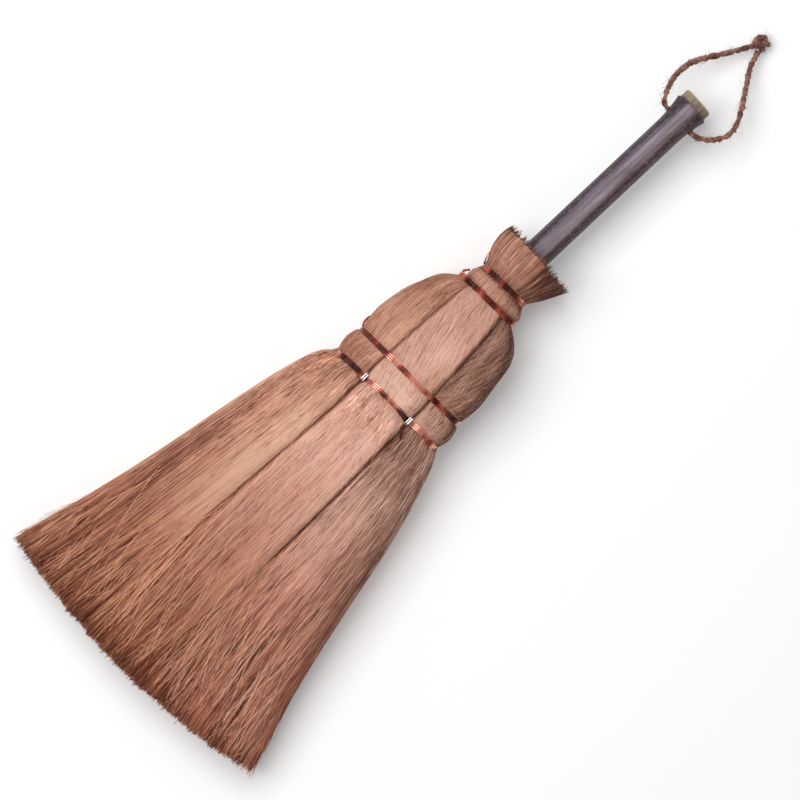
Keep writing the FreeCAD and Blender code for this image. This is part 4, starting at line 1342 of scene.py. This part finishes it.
def handleMaterial(looks):
    material, tree, shader = newMaterial("dark_bamboo", 0.5, Specular_IOR_Level=0.4, Coat_Weight=0.12,
                                         Specular_Tint=(0.95, 0.9, 1.0, 1), Coat_Roughness=0.22)
    place = objectPlace(tree)
    lean = np.arctan2(alongHandle[1], alongHandle[0])
    streak = noise(tree, place, (14, 380, 380), 3.0, 0.6, lean)
    speck = noise(tree, place, (480, 800, 800), 3.0, 0.7, lean)
    cloud = noise(tree, place, (50, 130, 130), 3.0, 0.5, lean)
    colour = ramp(tree, streak, [(at, seen(*c)) for at, c in zip((0.3, 0.5, 0.72), looks["grain"])])
    tint = ramp(tree, cloud, [(0.35, (0.72, 0.64, 0.62, 1)), (0.65, (1.12, 1.1, 1.14, 1))])
    colour = mixed(tree, 1.0, colour, tint, "MULTIPLY")
    # Painted highlight and painted shade: the culm is tinted pale where the lamp's reflection falls and dark
    # towards its sides
    sideways = node(tree, "VectorMath", {0: place, 1: tuple(acrossHandle)}, operation="DOT_PRODUCT")
    middle, reach = holePoint @ acrossHandle * mm, looks["halfWidth"] * mm
    across = spread(tree, sideways.outputs["Value"], (middle - reach, middle + reach))
    paintedLight = ramp(tree, across, [(at, (*c, 1)) for at, c in looks["paintedLightBands"]])
    colour = mixed(tree, 1.0, colour, paintedLight, "MULTIPLY")
    colour = mixed(tree, spread(tree, speck, (0.5, 0.72), (0.0, 0.5)), colour, seen(*looks["specks"]))
    feed(tree, shader.inputs["Roughness"], spread(tree, speck, (0.3, 0.7), (0.42, 0.6)))
    finished(tree, shader, colour, speck, 0.1, 0.1)
    return material


def woodMaterial(name, dark, light, roughness):
    material, tree, shader = newMaterial(name, roughness, Specular_IOR_Level=0.3)
    place = objectPlace(tree)
    grain = noise(tree, place, (60, 500, 500), 4.0, 0.6)
    broad = noise(tree, place, (120, 120, 120))
    level = maths(tree, "MULTIPLY", maths(tree, "ADD", grain, broad), 0.5)
    colour = ramp(tree, level, [(0.35, dark), (0.65, light)])
    colour = mixed(tree, carried(tree, "tone"), colour, seen(214, 196, 168))     # paler on fresh end grain
    finished(tree, shader, colour, grain, 0.25, 0.2)
    return material


# The plug's radius is cut back flat between its facets' edges, and its top slopes a little
def makeHandle(values):
    columns = values["facets"]
    draw = np.random.default_rng(91)
    turn = ((np.arange(columns) + draw.uniform(-0.28, 0.28, columns)) / columns * full)[None]
    foot = boxOf("handle_culm")[1][0] - 0.25
    radius, chamfer = values["radius"], values["chamfer"]
    along, reach = np.array([(-values["spigot"], radius - 2.8), (0.0, radius - 2.8), (0.05, radius * 0.985),
                             (values["length"] - chamfer, radius), (values["length"], radius - chamfer)]).T
    reach = reach[:, None] * (1 + draw.uniform(-0.025, 0.02, (1, columns)))
    slope = np.array([0, 0, 0, 1, 1])[:, None] * values["tilt"] * reach * np.cos(turn + 0.6)
    grid = handlePoint(foot + along[:, None] + slope, reach, np.broadcast_to(turn, reach.shape))
    plug = gridPiece("whittled_plug", grid, smooth=False)
    addValue(plug, "tone", np.concatenate([np.repeat([0, 0, 0, 0.15, 0.9], columns), [0, 0.9]]))
    wood = woodMaterial("plug_wood", seen(100, 82, 70), seen(158, 134, 114), 0.6)
    dress(plug, wood, "head", ["end_plug"])
    pale = woodMaterial("pale_bamboo", seen(176, 142, 92), seen(214, 184, 132), 0.45)
    inside = barkMaterial("core_fibre", ((96, 54, 38), (150, 98, 74), (186, 136, 108)))
    finishes = {"handle_culm": handleMaterial(culmLooks), "handle_peg": pale, "waist_skewer": pale,
                "core_left": inside, "core_centre": inside, "core_right": inside}
    for name, material in finishes.items():
        frame["nodes"][name].data.materials.clear()
        frame["nodes"][name].data.materials.append(material)
    print("handle made")


makeHandle(plugShape)


# Studio: a white floor that keeps the shadow, one large soft lamp from the left and a pale sky
studio = {
    "sky": 0.38,
    "floor": 0.9,
    "floorGlow": 0.14,          # lifts the bare floor to white where it is looked at
    "keyPower": 20.0,
    "keyFrom": (-0.05, 0.62, 1.4),
    "keySize": (1.5, 1.1),
}


def makeStudio(values):
    corners = np.array([[-3, -3, 0], [3, -3, 0], [3, 3, 0], [-3, 3, 0]]) / mm
    floor = meshPiece("floor", corners, [np.array([[0, 1, 2, 3]])])
    material, tree, shader = newMaterial("floor", 0.9, Specular_IOR_Level=0.0)
    shader.inputs["Base Color"].default_value = (values["floor"],) * 3 + (1,)
    shader.inputs["Emission Color"].default_value = (1, 1, 1, 1)
    path = node(tree, "LightPath").outputs
    rays = maths(tree, "ADD", path["Is Camera Ray"], path["Is Glossy Ray"])
    rays = maths(tree, "ADD", rays, path["Is Transmission Ray"])
    feed(tree, shader.inputs["Emission Strength"], maths(tree, "MULTIPLY", rays, values["floorGlow"]))
    floor.data.materials.append(material)
    world = bpy.data.worlds.new("sky")
    world.use_nodes = True
    sky = world.node_tree.nodes["Background"].inputs
    sky["Color"].default_value = (1, 1, 1, 1)
    sky["Strength"].default_value = values["sky"]
    bpy.context.scene.world = world
    data = bpy.data.lights.new("key", "AREA")
    data.shape = "RECTANGLE"
    data.size, data.size_y = values["keySize"]
    data.energy = values["keyPower"]
    lamp = bpy.data.objects.new("key", data)
    lamp.location = values["keyFrom"]
    lamp.rotation_euler = (-np.arctan2(values["keyFrom"][1], values["keyFrom"][2]), 0, 0)
    bpy.context.scene.collection.objects.link(lamp)
    bpy.context.scene.view_settings.view_transform = "Standard"
    print("studio made")


makeStudio(studio)
